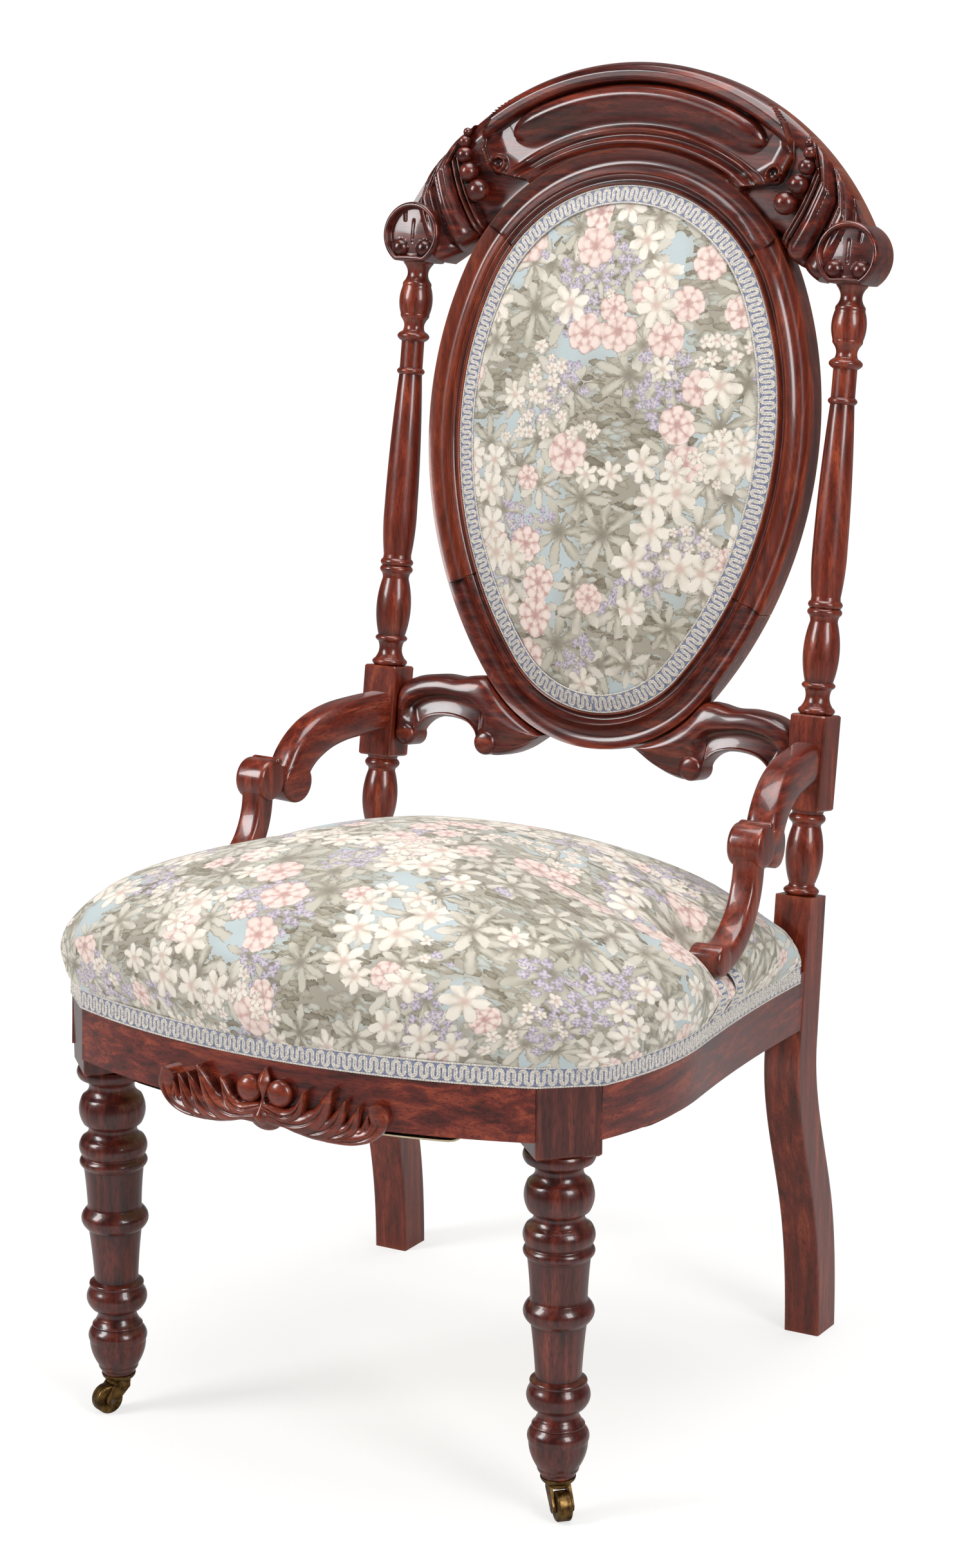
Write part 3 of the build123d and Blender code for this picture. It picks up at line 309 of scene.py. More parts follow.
sabre_front = np.where(front_z > knee[0], knee[1] + lean * (front_z - knee[0]), clamped_spline(
    front_z, (foot[0], ankle[0], knee[0]), (foot[1], ankle[1], knee[1]), 0, lean))
rear_lean = (leg_rear[1] - knee[1] - knee[2]) / (leg_rear[2] - knee[0])
sabre_rear = np.where(rear_z > knee[0], knee[1] + knee[2] + rear_lean * (rear_z - knee[0]), clamped_spline(
    rear_z, (foot[0], ankle[0], knee[0]), (foot[1] + foot[2], ankle[1] + ankle[2], knee[1] + knee[2]), 0,
    rear_lean))
for side, word in hands:
    loop = rounded_square(half_post, 1.0, 0.085)
    loop[:, 0] = rounded_square(half_post, half_post, 1.8)[:, 0]
    share = (loop[:, 1] + 1) / 2
    sabre = np.stack([np.broadcast_to(side * post_x + loop[:, 0], (sabre_rows, len(loop))),
                      sabre_front[:, None] + (sabre_rear - sabre_front)[:, None] * share,
                      front_z[:, None] + (rear_z - front_z)[:, None] * share], axis=-1)
    axis_point = on_back(side * post_x, 0)
    vase = lathe(turned_profile(post_leg_top, block_foot, 11, low_turnings), axis_point, rise_way)
    baluster = lathe(turned_profile(block_head, post_top + 6, 12.5, high_turnings), axis_point, rise_way)
    square = rounded_square(half_post, half_post, block_round)
    spread = np.array([0, 0.82, 0.93, 1, 1, 1, 1, 1, 0.93, 0.82, 0])[:, None, None]
    foot_side, head_side = block_foot + np.array([0, 0, 0, 1.3, 4.5]), block_head - np.array([4.5, 1.3, 0, 0, 0])
    level = np.concatenate([foot_side, [(block_foot + block_head) / 2], head_side])
    block = on_back(side * post_x + (spread * square)[..., 0], level[:, None] + 0 * square[None, :, 0],
                    (spread * square)[..., 1])
    add_piece("back_post_" + word, [capped(sabre), vase, block, baluster], upright_wood)

# Seat rails. Mahogany: a bowed front rail, two serpentine side rails and a straight back rail, dowelled
# into the legs. Softwood blocks are glued into the corners, and beech dowels hold every joint.
cross_wood = mahogany("mahogany_cross_grain", "X", 0.0, ("#300d08", "#581b11", "#84361c"))
side_wood = mahogany("mahogany_side_grain", "Y", 0.05)
front_wood = mahogany("mahogany_front_rail", "X", carved=0.0)
flank_wood = mahogany("mahogany_side_rail", "Y", carved=0.0)


def plain_wood(name, base, ring, along):
    """Unpolished softwood or beech: pale earlywood with slightly darker rings stretched along one axis."""
    material, tree, shader = new_material(name)
    ring_width, ring_length = 0.004, 0.08
    place = add_node(tree, "Mapping", {"Vector": add_node(tree, "TexCoord").outputs["Object"], "Scale": [
        1 / (ring_length if axis == along else ring_width) for axis in "XYZ"]})
    rings = add_node(tree, "TexNoise", {"Vector": place, "Scale": 1.0, "Detail": 3.0})
    tone = ramp_node(tree, rings, (0.35, ring), (0.65, base))
    relief = add_node(tree, "Bump", {"Height": rings, "Strength": 0.2, "Distance": 0.0003})
    add_node(tree, shader, {"Base Color": tone, "Normal": relief, "Roughness": 0.68})
    return material


def finish_node(name, material):
    """Gives a CAD piece its material and leaves its mesh as it is."""
    nodes[name].data.materials.clear()
    nodes[name].data.materials.append(material)


for name, wood in (("front_rail", front_wood), ("back_rail", front_wood), ("side_rail_left", flank_wood),
                   ("side_rail_right", flank_wood),
                   ("corner_blocks", plain_wood("planed_pine", "#c9a877", "#a97f4d", "X")),
                   ("dowels", plain_wood("turned_beech", "#cda981", "#b58d63", "X"))):
    finish_node(name, wood)

# Oval frame. Mahogany in two bent stiles and a bottom piece, butted under the crest: a broad round, a
# quirk and a small bead, with a rebate inside where the upholstery is tacked.
egg_middle, egg_half_width, egg_top, egg_bottom = 335.0, 146.5, 530.0, 97.5
egg_top_radius, egg_bottom_radius = 134.0, 98.0
egg_top_centre, egg_bottom_centre = egg_top - egg_top_radius, egg_bottom + egg_bottom_radius
egg_rise, egg_fall = egg_top_centre - egg_middle, egg_middle - egg_bottom_centre
egg_high_radius = (egg_half_width ** 2 + egg_rise ** 2 - egg_top_radius ** 2) / (
    2 * (egg_half_width - egg_top_radius))
egg_low_radius = (egg_half_width ** 2 + egg_fall ** 2 - egg_bottom_radius ** 2) / (
    2 * (egg_half_width - egg_bottom_radius))
egg_high_turn = math.degrees(math.atan2(egg_rise, egg_high_radius - egg_half_width))
egg_low_turn = math.degrees(math.atan2(egg_fall, egg_low_radius - egg_half_width))


def egg(turn, outward=0.0):
    """Width and height on the egg where its outward normal stands at a turn in degrees, 0 to the right
    and 90 up: four arcs that meet tangentially, each grown by the same amount."""
    turn = np.asarray(turn, float)
    facing = np.where(np.cos(np.radians(turn)) >= 0, 1.0, -1.0)
    lift = np.degrees(np.arcsin(np.clip(np.sin(np.radians(turn)), -1, 1)))
    arcs = [lift > egg_high_turn, lift > 0, lift > -egg_low_turn]
    radius = np.select(arcs, [egg_top_radius, egg_high_radius, egg_low_radius], egg_bottom_radius)
    centre_x = np.select(arcs, [0, egg_half_width - egg_high_radius, egg_half_width - egg_low_radius], 0)
    centre_y = np.select(arcs, [egg_top_centre, egg_middle, egg_middle], egg_bottom_centre)
    reach = radius + outward
    return (facing * (centre_x + reach * np.cos(np.radians(lift))), centre_y + reach * np.sin(np.radians(lift)))


def even_turns(first, last, count):
    """Turns between two limits that are evenly spaced along the egg."""
    turn = np.linspace(first, last, 2001)
    run = lengths_along(np.stack(egg(turn), -1))
    return np.interp(np.linspace(0, run[-1], count), run, turn)


def arc_points(first, last, bulge, count):
    """Points from one to the other on a parabola that stands out by the bulge, square to the chord."""
    first, last = np.asarray(first, float), np.asarray(last, float)
    t = np.linspace(0, 1, count)[:, None]
    chord = last - first
    square = np.array([-chord[1], chord[0]]) / np.hypot(*chord)
    return first + chord * t + 4 * bulge * t * (1 - t) * square


oval_section = np.concatenate([
    [[30, -15]], arc_points((30, -6), (29.6, 3), 0.1, 4), arc_points((29, 5), (9.5, 7.5), 6.6, 18),
    [[8.6, 4.6]], arc_points((7.6, 4.6), (1.0, 4.8), 3.4, 9), [[0, 4.0]], [[0, -3]], [[-14, -3]], [[-14, -15]]])


def oval_length(first, last, count):
    """A length of the oval moulding between two turns, closed flat at both ends."""
    turn = even_turns(first, last, count)[:, None]
    x, y = egg(turn, oval_section[None, :, 0])
    return capped(on_back(x, y, 0 * x + oval_section[None, :, 1]))


oval_joint, low_joint = 36.0, 24.0
oval_wood = mahogany("mahogany_stile_grain", "Z", 0.16)
joint_gap = 0.05
for name, first, last, count, wood in (
        ("oval_side_right", oval_joint - joint_gap, joint_gap - low_joint, 150, upright_wood),
        ("oval_side_left", 180 + joint_gap - oval_joint, 180 - joint_gap + low_joint, 150, oval_wood),
        ("oval_bottom", -low_joint - joint_gap, low_joint - 180 + joint_gap, 170, cross_wood)):
    add_piece(name, [oval_length(first, last, count)], wood)

# Crest rail. Carved from a thick mahogany plank: an arched panel with a long roll in its hollow and a
# C-scroll at each end, a row of berries, ribbed leaves over the shoulders, and the top of the oval.
crest_wood = mahogany("mahogany_crest", "X", 0.0, ("#2b0905", "#50150b", "#792b14"))
crest_centre, crest_radius, crest_back = 389.0, 240.0, -15.0


def smooth(low, high, at):
    """Rises from 0 at low to 1 at high with a level start and end."""
    t = np.clip((at - low) / (high - low), 0, 1)
    return t * t * (3 - 2 * t)


def ridge(distance, width):
    """Bell curve, 1 on the line and near 0 at twice its width."""
    return np.exp(-(distance / width) ** 2)


def crest_depth(x, height):
    """Depth of the carved front. Inside the scroll the panel's mouldings depend on the distance from the
    arch's centre, and the roll narrows to a nose; outside it a sunk band carries the berries, and the leaf
    is a double rolled edge and two swelling folds, cut by grooves that run beside that edge and fade."""
    reach = np.hypot(x, height - crest_centre)
    turn = np.degrees(np.arctan2(np.abs(x), height - crest_centre))
    scroll = np.interp(reach, (172, 182, 190, 204, 218, 228, 235, 238.5, 241),
                       (35.0, 38.0, 40.0, 41.5, 40.5, 38.0, 34.5, 31.0, 26.0))
    beyond = np.radians(turn - scroll) * reach
    nose = np.sqrt(np.clip(1 - (np.radians(np.clip(turn - 26.0, 0, None)) * 209 / 26.0) ** 2, 0, 1))
    from_crown = np.clip((reach - 210) / np.maximum(nose, 0.05), -22, 13)
    roll = nose * clamped_spline(from_crown, (-22, -15, -10, -5, 0, 4, 8, 11, 13),
                                 (0, 0.8, 3.4, 7.6, 10.8, 11.2, 9.4, 5.4, 0.5), 0, 0)
    beads = 5.5 * ridge(reach - 185.5, 2.3) + 6.5 * ridge(reach - 176.0, 3.2)
    inside = 1.6 + 5.0 * smooth(-18, -1.5, beyond) + beads + roll
    cornice = np.interp(reach, (222.5, 224.5, 227, 232, 236.5, 239, 240), (3.5, 9.5, 12.4, 12.6, 9.8, 5, 1))
    cornice_share = smooth(221.5, 224.5, reach)
    inside = inside * (1 - cornice_share) + cornice * cornice_share
    leaf_edge = np.interp(reach, (150, 172, 187, 203, 228, 241), (57.0, 53.0, 51.2, 49.3, 45.8, 39.0))
    into_leaf = np.radians(turn - leaf_edge) * reach
    outer_fall = np.sqrt(np.clip((241 - reach) / 13, 0, 1))
    band = -2.5 + 8.0 * smooth(172, 230, reach) * outer_fall
    first_roll = 7.0 * np.sqrt(np.clip(1 - ((into_leaf - 2.4) / 2.5) ** 2, 0, 1))
    second_roll = 9.0 * np.sqrt(np.clip(1 - ((into_leaf - 6.8) / 2.8) ** 2, 0, 1))
    belly = 16.5 * np.sqrt(np.sin(math.pi * np.clip((into_leaf - 8.4) / 25, 0, 1)))
    fold = 11.5 * np.sqrt(np.sin(math.pi * np.clip((into_leaf - 31) / 33, 0, 1)))
    body = np.maximum(np.maximum(first_roll, second_roll), np.maximum(belly, fold))
    grooves = sum(ridge(into_leaf - place, 0.9) * smooth(end, end + 14, reach) for place, end in (
        (16.5, 190), (24.0, 198), (40.0, 198), (48.0, 204)))
    swell = 0.8 + 0.28 * ridge(reach - 207, 34)
    leaf = np.where(into_leaf > 0, 2.5 + (body * swell - 1.3 * grooves) * outer_fall, -20)
    outside = np.maximum(band, leaf)
    depth = inside + (outside - inside) * smooth(-0.7, 0.7, beyond)
    rim = 4.0 * ridge(beyond + 0.6, 1.2) * smooth(180, 192, reach) * smooth(240.5, 236, reach)
    eye = np.hypot(np.abs(x) - 126.5, height - 542.0)
    curl = 4.6 * ridge(eye - 6.3, 1.4) - 2.4 * ridge(eye, 3.8)
    return np.maximum(depth + rim + curl, crest_back + 4)


def carved_plank(lay, x, height, depth, back):
    """A plank with a carved face: the face, its two long edges again at the depth of the flat back, and
    closed ends. Lay puts a width, a height and a depth in their place."""
    behind = lay(x[:, [-1, 0]], height[:, [-1, 0]], np.full((len(x), 2), back))
    return capped(np.concatenate([lay(x, height, depth), behind], axis=1))


half_span = np.concatenate([np.linspace(0, 0.42, 60)[:-1], np.linspace(0.42, 1, 212)])
span = np.concatenate([-half_span[:0:-1], half_span])[:, None]
across = np.linspace(0, 1, 104)[None, :]
side_sign, along = np.sign(span), np.abs(span)
arch_end = 0.84  # share of the half span that follows the oval, before the shoulder turns out to the cap
arch_share = np.clip(along / arch_end, 0, 1)
end_share = np.clip((along - arch_end) / (1 - arch_end), 0, 1)
inner_radius = egg_top_radius + 29.5  # just inside the oval's outer edge, so that the two meet
inner_turn = np.radians(54.0) * arch_share
outer_turn = np.radians(65.0) * along
inner_x = inner_radius * np.sin(inner_turn) + 40 * end_share - 12 * end_share * (1 - end_share)
inner_y = egg_top_centre + inner_radius * np.cos(inner_turn) - 33 * end_share
outer_x = crest_radius * np.sin(outer_turn)
outer_y = crest_centre + crest_radius * np.cos(outer_turn)
field_x = side_sign * (inner_x + (outer_x - inner_x) * across)
field_y = inner_y + (outer_y - inner_y) * across
field_z = crest_depth(field_x, field_y)
edge_fall = 13 * (1 - np.sqrt(np.clip(1 - (1 - np.clip(across / 0.16, 0, 1)) ** 2, 0, 1)))
field_z = np.maximum(field_z - edge_fall * smooth(0.74, 0.88, along), crest_back + 4)
crest_grids = [carved_plank(on_back, field_x, field_y, field_z, crest_back),
               oval_length(oval_joint, 180 - oval_joint, 180)]
berries = ((9.6, 141.0, 519.5, 11), (8.2, 151.0, 534.5, 11.5), (6.7, 156.8, 548.5, 11), (5.2, 158.2, 559.5, 10),
           (3.6, 156.5, 567.5, 9))
latitude = np.linspace(-math.pi / 2, math.pi / 2, 17)
for side in (1, -1):
    for radius, x, y, depth in berries:
        crest_grids.append(lathe(radius * circle(latitude), on_back(side * x, y, depth), front_way))

# The crest's end caps: an arched shield over each post with a rolled rim, a sunk face cut by a long
# gouge line and a short one to each side at its top, and two small balls at its foot.
cap_y, cap_radius, cap_front, cap_back, cap_points = 481.0, 26.8, 17.5, crest_back + 0.2, 108
rim_half_width, gouge_top, gouge_apart = 2.6, 10.5, 7.5
ball_x, ball_y, ball_radius = 11.5, -11.5, 7.8
cap_turn = np.linspace(0, 2 * math.pi, cap_points, endpoint=False)
cap_share = np.concatenate([np.linspace(0, 0.78, 36), np.linspace(0.79, 1, 20)])
for side in (1, -1):
    limit = np.minimum(cap_radius, (cap_y - post_top - 0.3) / np.clip(-np.sin(cap_turn), 1e-6, None))
    limit = np.where(np.sin(cap_turn) < 0, limit, cap_radius)
    px = np.cos(cap_turn) * limit * cap_share[:, None]
    py = np.sin(cap_turn) * limit * cap_share[:, None]
    to_edge = (1 - cap_share[:, None]) * limit
    rim = 3.4 * np.sqrt(np.clip(1 - ((to_edge - rim_half_width) / rim_half_width) ** 2, 0, 1))
    gouged = ridge(px, 0.9) * smooth(gouge_top + 3, gouge_top, py) * smooth(-8, -4, py)
    for offset in (-gouge_apart, gouge_apart):
        gouged = gouged + ridge(px - offset * (1 + 0.014 * py), 0.9) * (py > gouge_top)
    sunk = -3.0 + 1.4 * ridge(px, 13) * ridge(py, 16) - 1.4 * gouged
    face = sunk + (rim - sunk) * smooth(5.8, 4.0, to_edge)
    for centre in (-ball_x, ball_x):
        dome = np.clip(1 - ((px - centre) ** 2 + (py - ball_y) ** 2) / ball_radius ** 2, 0, 1)
        face = np.maximum(face, -3.4 + 7.4 * np.sqrt(dome))
    shield = on_back(side * post_x + px, cap_y + py, cap_front - rim_half_width + face)
    wall_x = side * post_x + np.cos(cap_turn) * limit
    wall_y = cap_y + np.sin(cap_turn) * limit
    walls = [on_back(wall_x, wall_y, np.full(cap_points, depth)) for depth in (cap_front - 5, 0.0, cap_back)]
    close = np.repeat(on_back(side * post_x, cap_y, cap_back)[None], cap_points, axis=0)
    crest_grids.append(np.concatenate([shield, np.stack(walls), close[None]]))
add_piece("crest_rail", crest_grids, crest_wood, sharp=50)

# Brackets. Mahogany C-scrolls between the post blocks and the oval, flat at the back. A rounded band
# follows the top, a sunk panel with a thin lower rim follows the arch, and each end is rolled.


def through(points, count):
    """Even samples of a smooth curve through the points, cubic pieces whose slopes follow the neighbours."""
    knots = np.asarray(points, float)
    padded = np.concatenate([[2 * knots[0] - knots[1]], knots, [2 * knots[-1] - knots[-2]]])
    where = np.linspace(0, len(knots) - 1 - 1e-9, count)
    piece = where.astype(int)
    t = (where - piece)[:, None]
    a, b, c, d = (padded[piece + i] for i in range(4))
    return 0.5 * (2 * b + (c - a) * t + (2 * a - 5 * b + 4 * c - d) * t ** 2 + (3 * b - a - 3 * c + d) * t ** 3)


bracket_low_edge = ((167, 58), (164, 68), (153, 77), (135, 80), (118, 77), (108.5, 69), (104, 58), (92, 52.5),
                    (76, 55), (60, 62), (45, 72.5))
bracket_top_edge = ((184.3, 66), (184.3, 99), (170, 110.5), (147, 115), (128, 114.5), (113, 117), (101, 116),
                    (88, 102), (73.5, 90), (58, 80.5), (44, 74))
bracket_rows, bracket_steps, bracket_back = 120, 40, -12.0
low_line, top_line = through(bracket_low_edge, bracket_rows), through(bracket_top_edge, bracket_rows)
share = np.linspace(0, 1, bracket_steps)
rounded = clamped_spline(share, (0, 0.05, 0.15, 0.4, 0.62, 0.85, 0.95, 1),
                         (3.0, 7.0, 8.6, 10.2, 12.4, 10.6, 6.5, 1.5), 90, -120)
panel = smooth(0.06, 0.11, share) * smooth(0.56, 0.5, share) * (4.6 + 4.4 * smooth(0.1, 0.5, share))
row = np.linspace(0, 1, bracket_rows)[:, None]
face = rounded - panel * smooth(0.05, 0.13, row) * smooth(0.66, 0.54, row)
for side, word in hands:
    width = low_line[:, None] + (top_line - low_line)[:, None] * share[None, :, None]
    grids = [carved_plank(on_back, side * width[..., 0], width[..., 1], face, bracket_back)]
    for x, y, radius in ((174.5, 61.5, 9.6), (96.5, 62.5, 10.4)):
        turn = np.linspace(0, math.pi / 2, 12)
        dome = np.stack([radius * np.cos(turn) ** 0.6, 7.0 + 5.5 * np.sin(turn)], -1)
        roll = np.concatenate([[[0, bracket_back], [radius, bracket_back]], dome])
        grids.append(lathe(roll, on_back(side * x, y), front_way))
    add_piece("back_bracket_" + word, grids, cross_wood, sharp=45)

# Arms. Low mahogany hip rests: a rounded bar falls from the post block and rolls under at its end, and a
# hollow support rises from a rolled foot on the seat to a knuckle that the bar butts against.
arm_splay, support_splay = math.radians(9.5), math.radians(2.5)
arm_height, arm_half_depth, arm_half_width = 505.0, 16.5, 13.5
arm_root = on_back(post_x, (arm_height - arm_half_depth - post_datum) / math.cos(rake), half_post)


def soft_square(power, steps=40):
    """Loop between a circle and a square: a superellipse of the given power."""
    turn = np.linspace(0, 2 * math.pi, steps, endpoint=False)
    c, s = np.cos(turn), np.sin(turn)
    return np.stack([np.sign(c) * np.abs(c) ** (2 / power), np.sign(s) * np.abs(s) ** (2 / power)], -1)


def swept_bar(line, plane_x, plane_origin, across, half_width, half_depth, power):
    """A bar bent in an upright plane: a soft square at each point of a line of (run, height), square to
    the line, closed at both ends."""
    tangent = unit(np.gradient(line, axis=0))
    normal = np.stack([-tangent[:, 1], tangent[:, 0]], -1)
    loop = soft_square(power)
    place = line[:, None] + normal[:, None] * (loop[:, 1] * half_depth[:, None])[..., None]
    points = (plane_origin + place[..., :1] * plane_x + place[..., 1:] * np.array([0, 0, 1.0])
              + loop[None, :, :1] * half_width[:, None, None] * across)
    return capped(points)


def rolled_end(eye, across, radius, half_width, corner):
    """A roll lying across the arm: a drum with rounded rims and slightly domed ends."""
    turn = np.linspace(0, math.pi / 2, 7)
    rim = np.stack([radius - corner + corner * np.sin(turn), half_width - corner + corner * np.cos(turn)], -1)
    dome = np.array([0, half_width]) + np.array([[0, 0.5], [0.35 * radius, 0.4], [0.65 * radius, 0.15]])
    upper = np.concatenate([dome, rim])
    lower = upper[::-1] * np.array([1, -1])
    return lathe(np.concatenate([upper, lower]), eye, across, (0, 0, 1))


arm_end, knuckle_at = (113, 448.4), (145.65, 456.0)
arm_rows, support_rows, roll_radius = 90, 70, 17.0
arm_line = through(((-5, 489), (25, 489.3), (52, 488.3), (74, 484), (91, 476.5), (103, 467), (110.5, 456.5),
                    arm_end), arm_rows)
arm_thickness = np.interp(np.linspace(0, 1, arm_rows), (0, 0.5, 0.8, 1), (16.3, 16.8, 15.6, 16.6))
for side, word in hands:
    run = np.array([side * math.sin(arm_splay), -math.cos(arm_splay), 0])
    across = np.array([math.cos(arm_splay), side * math.sin(arm_splay), 0])
    origin = np.array([side * arm_root[0], arm_root[1], 0])
    bar = swept_bar(arm_line, run, origin, across, np.full(arm_rows, arm_half_width), arm_thickness, 3.6)
    scroll_at = origin + arm_end[0] * run + np.array([0, 0, arm_end[1]])
    scroll = rolled_end(scroll_at, across, roll_radius, arm_half_width + 0.2, 3.5)
    add_piece("arm_" + word, [bar, scroll], side_wood, sharp=50)

    eye = origin + knuckle_at[0] * run + np.array([0, 0, knuckle_at[1]])
    support_run = np.array([side * math.sin(support_splay), -math.cos(support_splay), 0])
    support_across = np.array([math.cos(support_splay), side * math.sin(support_splay), 0])
    turn = np.radians(np.linspace(166, 268, support_rows))
    line = np.array([70.0, -9.0]) + 66 * circle(turn)
    wide = np.interp(np.linspace(0, 1, support_rows), (0, 0.12, 0.5, 1), (11.4, 10.4, 10.6, 12.0))
    deep = np.interp(np.linspace(0, 1, support_rows), (0, 0.2, 0.6, 1), (11.0, 10.4, 10.4, 9.4))
    stem = swept_bar(line, support_run, eye, support_across, wide, deep, 4.5)
    knuckle = rolled_end(eye, support_across, roll_radius, 14.4, 4.5)
    collar_at = eye - 9.5 * support_run + np.array([0, 0, 13.5])
    collar = rolled_end(collar_at, support_across, 3.4, 13.9, 2.2)
    foot_roll = rolled_end(eye + 75.0 * support_run - np.array([0, 0, 71.5]), support_across, 12.0, 13.8, 3.4)
    add_piece("arm_support_" + word, [stem, knuckle, collar, foot_roll], upright_wood, sharp=50)

# Applied carving. Mahogany leaf work glued to the middle of the bowed front rail and hanging a little
# below it: a ridged bud, two domed volutes, and overlapping leaf lobes to each side, the last one curled.
seat_front, half_diagonal = 289.0, block_half * math.sqrt(2)
carving_ground, carving_back = -4.0, -6.0
bow_rise = seat_front + leg_y - half_diagonal
front_bow = (bow_rise ** 2 + leg_x ** 2) / (2 * bow_rise)
seat_up = np.array([0, math.sin(seat_tilt), math.cos(seat_tilt)])
seat_deep = np.array([0, math.cos(seat_tilt), -math.sin(seat_tilt)])


def on_seat(x, y, height=0.0):
    """Points of the tilted seat frame, their height square to the rail tops."""
    x, y, height = (np.asarray(v, float)[..., None] for v in (x, y, height))
    return np.array([0, 0, seat_height]) + x * right_way + y * seat_deep + height * seat_up


def on_rail(x, height, out=0.0):
    """Points on the bowed front rail, at a height below its top and standing out of it."""
    x, out = np.asarray(x, float), np.asarray(out, float)
    sweep = np.arcsin(x / front_bow)
    reach = front_bow + out
    return on_seat(reach * np.sin(sweep), front_bow - seat_front - reach * np.cos(sweep), height)


def lobe_depth(x, height, points, wide, proud, tip):
    """Depth of one carved lobe. Its spine runs through the points. Across the spine it is a step of a third
    of its depth and a round on top of that, cut by a shallow groove, and its width closes to the tip."""
    spine = through(points, 60)
    share = np.linspace(0, 1, 60)
    apart = np.hypot(x[..., None] - spine[:, 0], height[..., None] - spine[:, 1])
    nearest = apart.argmin(axis=-1)
    width = wide * np.sqrt(np.clip(share * 3 + 0.4, 0, 1)) * np.clip((1.0 - share) * 2.4 + tip, 0, 1) ** 0.7
    heading = unit(np.gradient(spine, axis=0))
    aside = ((x - spine[nearest, 0]) * -heading[nearest, 1] + (height - spine[nearest, 1]) * heading[nearest, 0])
    across = np.clip(aside / np.maximum(width[nearest], 1e-3), -1, 1)
    off = apart.min(axis=-1) > np.maximum(width[nearest], 0.05)
    groove = 1.5 * ridge(across - 0.12, 0.13) * smooth(1, 0.7, share[nearest])
    return np.where(off, carving_ground, proud * (0.36 + 0.64 * np.sqrt(1 - across ** 2)) - groove)


def tapered(path, side, up, radii, flat, crease):
    """A tapering stem along a path: an ellipse at each point, wider along side than along up, with a
    crease raised on its top, closed to a point at both ends."""
    turn = np.linspace(0, 2 * math.pi, 28, endpoint=False)[:, None]
    top = np.sin(turn) * flat + crease * np.clip(np.sin(turn), 0, 1) ** 6
    rings = path[:, None] + radii[:, None, None] * (np.cos(turn) * side + top * up)
    tips = path[[0, -1], None] + 0 * rings[[0, -1]]
    return np.concatenate([tips[:1], rings, tips[1:]])


lobes = (
    (((56, -59), (74, -58), (86, -52.5), (92, -43), (90.5, -35)), 7.8, 8.0, 1.0),
    (((50, -59), (68, -57.5), (80, -51), (83, -38)), 6.6, 6.6, 0.05),
    (((34, -57), (54, -57), (69, -49.5), (77, -31)), 7.2, 7.6, 0.05),
    (((18, -53.5), (42, -55.5), (57, -47.5), (67, -27.5)), 7.8, 8.6, 0.05),
    (((4, -48), (27, -52), (45, -43.5), (57, -20.5)), 9.0, 10.0, 0.05),
    (((4, -42), (18, -46.5), (29, -40.5), (35, -25)), 5.8, 10.2, 0.05))
carving_low = through(((0, -57), (9, -55.5), (18, -55), (29, -58), (42, -60.5), (58, -61.5), (72, -61),
                       (84, -57.5), (92, -51.5), (98, -43), (100, -35)), 120)
carving_half_width, carving_top = 99.5, -15.0
lobe_x = np.linspace(0, carving_half_width, 220)[:, None]
lobe_share = np.linspace(0, 1, 84)[None, :]
lobe_low = np.interp(lobe_x, carving_low[:, 0], carving_low[:, 1])
lobe_y = lobe_low + (carving_top - lobe_low) * lobe_share
lobe_z = np.full(lobe_y.shape, carving_ground) + 6.5 * smooth(-42, -50, lobe_y) * smooth(90, 78, lobe_x)
for points, wide, proud, tip in lobes:
    lobe_z = np.maximum(lobe_z, lobe_depth(lobe_x + 0 * lobe_y, lobe_y, points, wide, proud, tip))
low_edge = np.sqrt(np.clip(1 - (1 - np.clip((lobe_y - lobe_low) / 4.0, 0, 1)) ** 2, 0, 1))
lobe_z = np.where(lobe_z > 0, lobe_z * (0.3 + 0.7 * low_edge), lobe_z)
grids = []
for side in (1, -1):
    grids.append(carved_plank(on_rail, side * (lobe_x + 0 * lobe_y), lobe_y, lobe_z, carving_back))
    volute = 10.4 * circle(latitude) * np.array([1, 0.62])
    grids.append(lathe(volute, on_rail(side * 13.0, -30.5, 4.0), (0, -1, 0)))
tongue = 12.0 * circle(latitude) * np.array([1, 0.5])
grids.append(lathe(tongue, on_rail(0.0, -48.5, 1.0), (0, -1, 0)) * np.array([1.25, 1, 1]))
bud = np.linspace(0, 1, 60)
bud_line = on_rail(0 * bud, -12.5 - 45 * bud, 2.6 + 3.4 * np.sin(math.pi * bud))
bud_width = 6.4 * ridge(bud - 0.2, 0.2) + 11.5 * ridge(bud - 0.84, 0.2)
bud_width = np.maximum(bud_width * np.sqrt(np.clip(4 * bud * (1 - bud), 0, 1)), 0.05)
grids.append(tapered(bud_line, right_way, np.array([0, -1.0, 0]), bud_width, 0.62, 0.4))
add_piece("front_carving", grids, mahogany("mahogany_carving", "X", 0.1), sharp=60)

# Seat foundation. Three jute webs each way, interlaced under the rails and tacked to them, a canvas over
# the rail tops that carries the stuffing, and a thin base cloth that closes the seat from below.


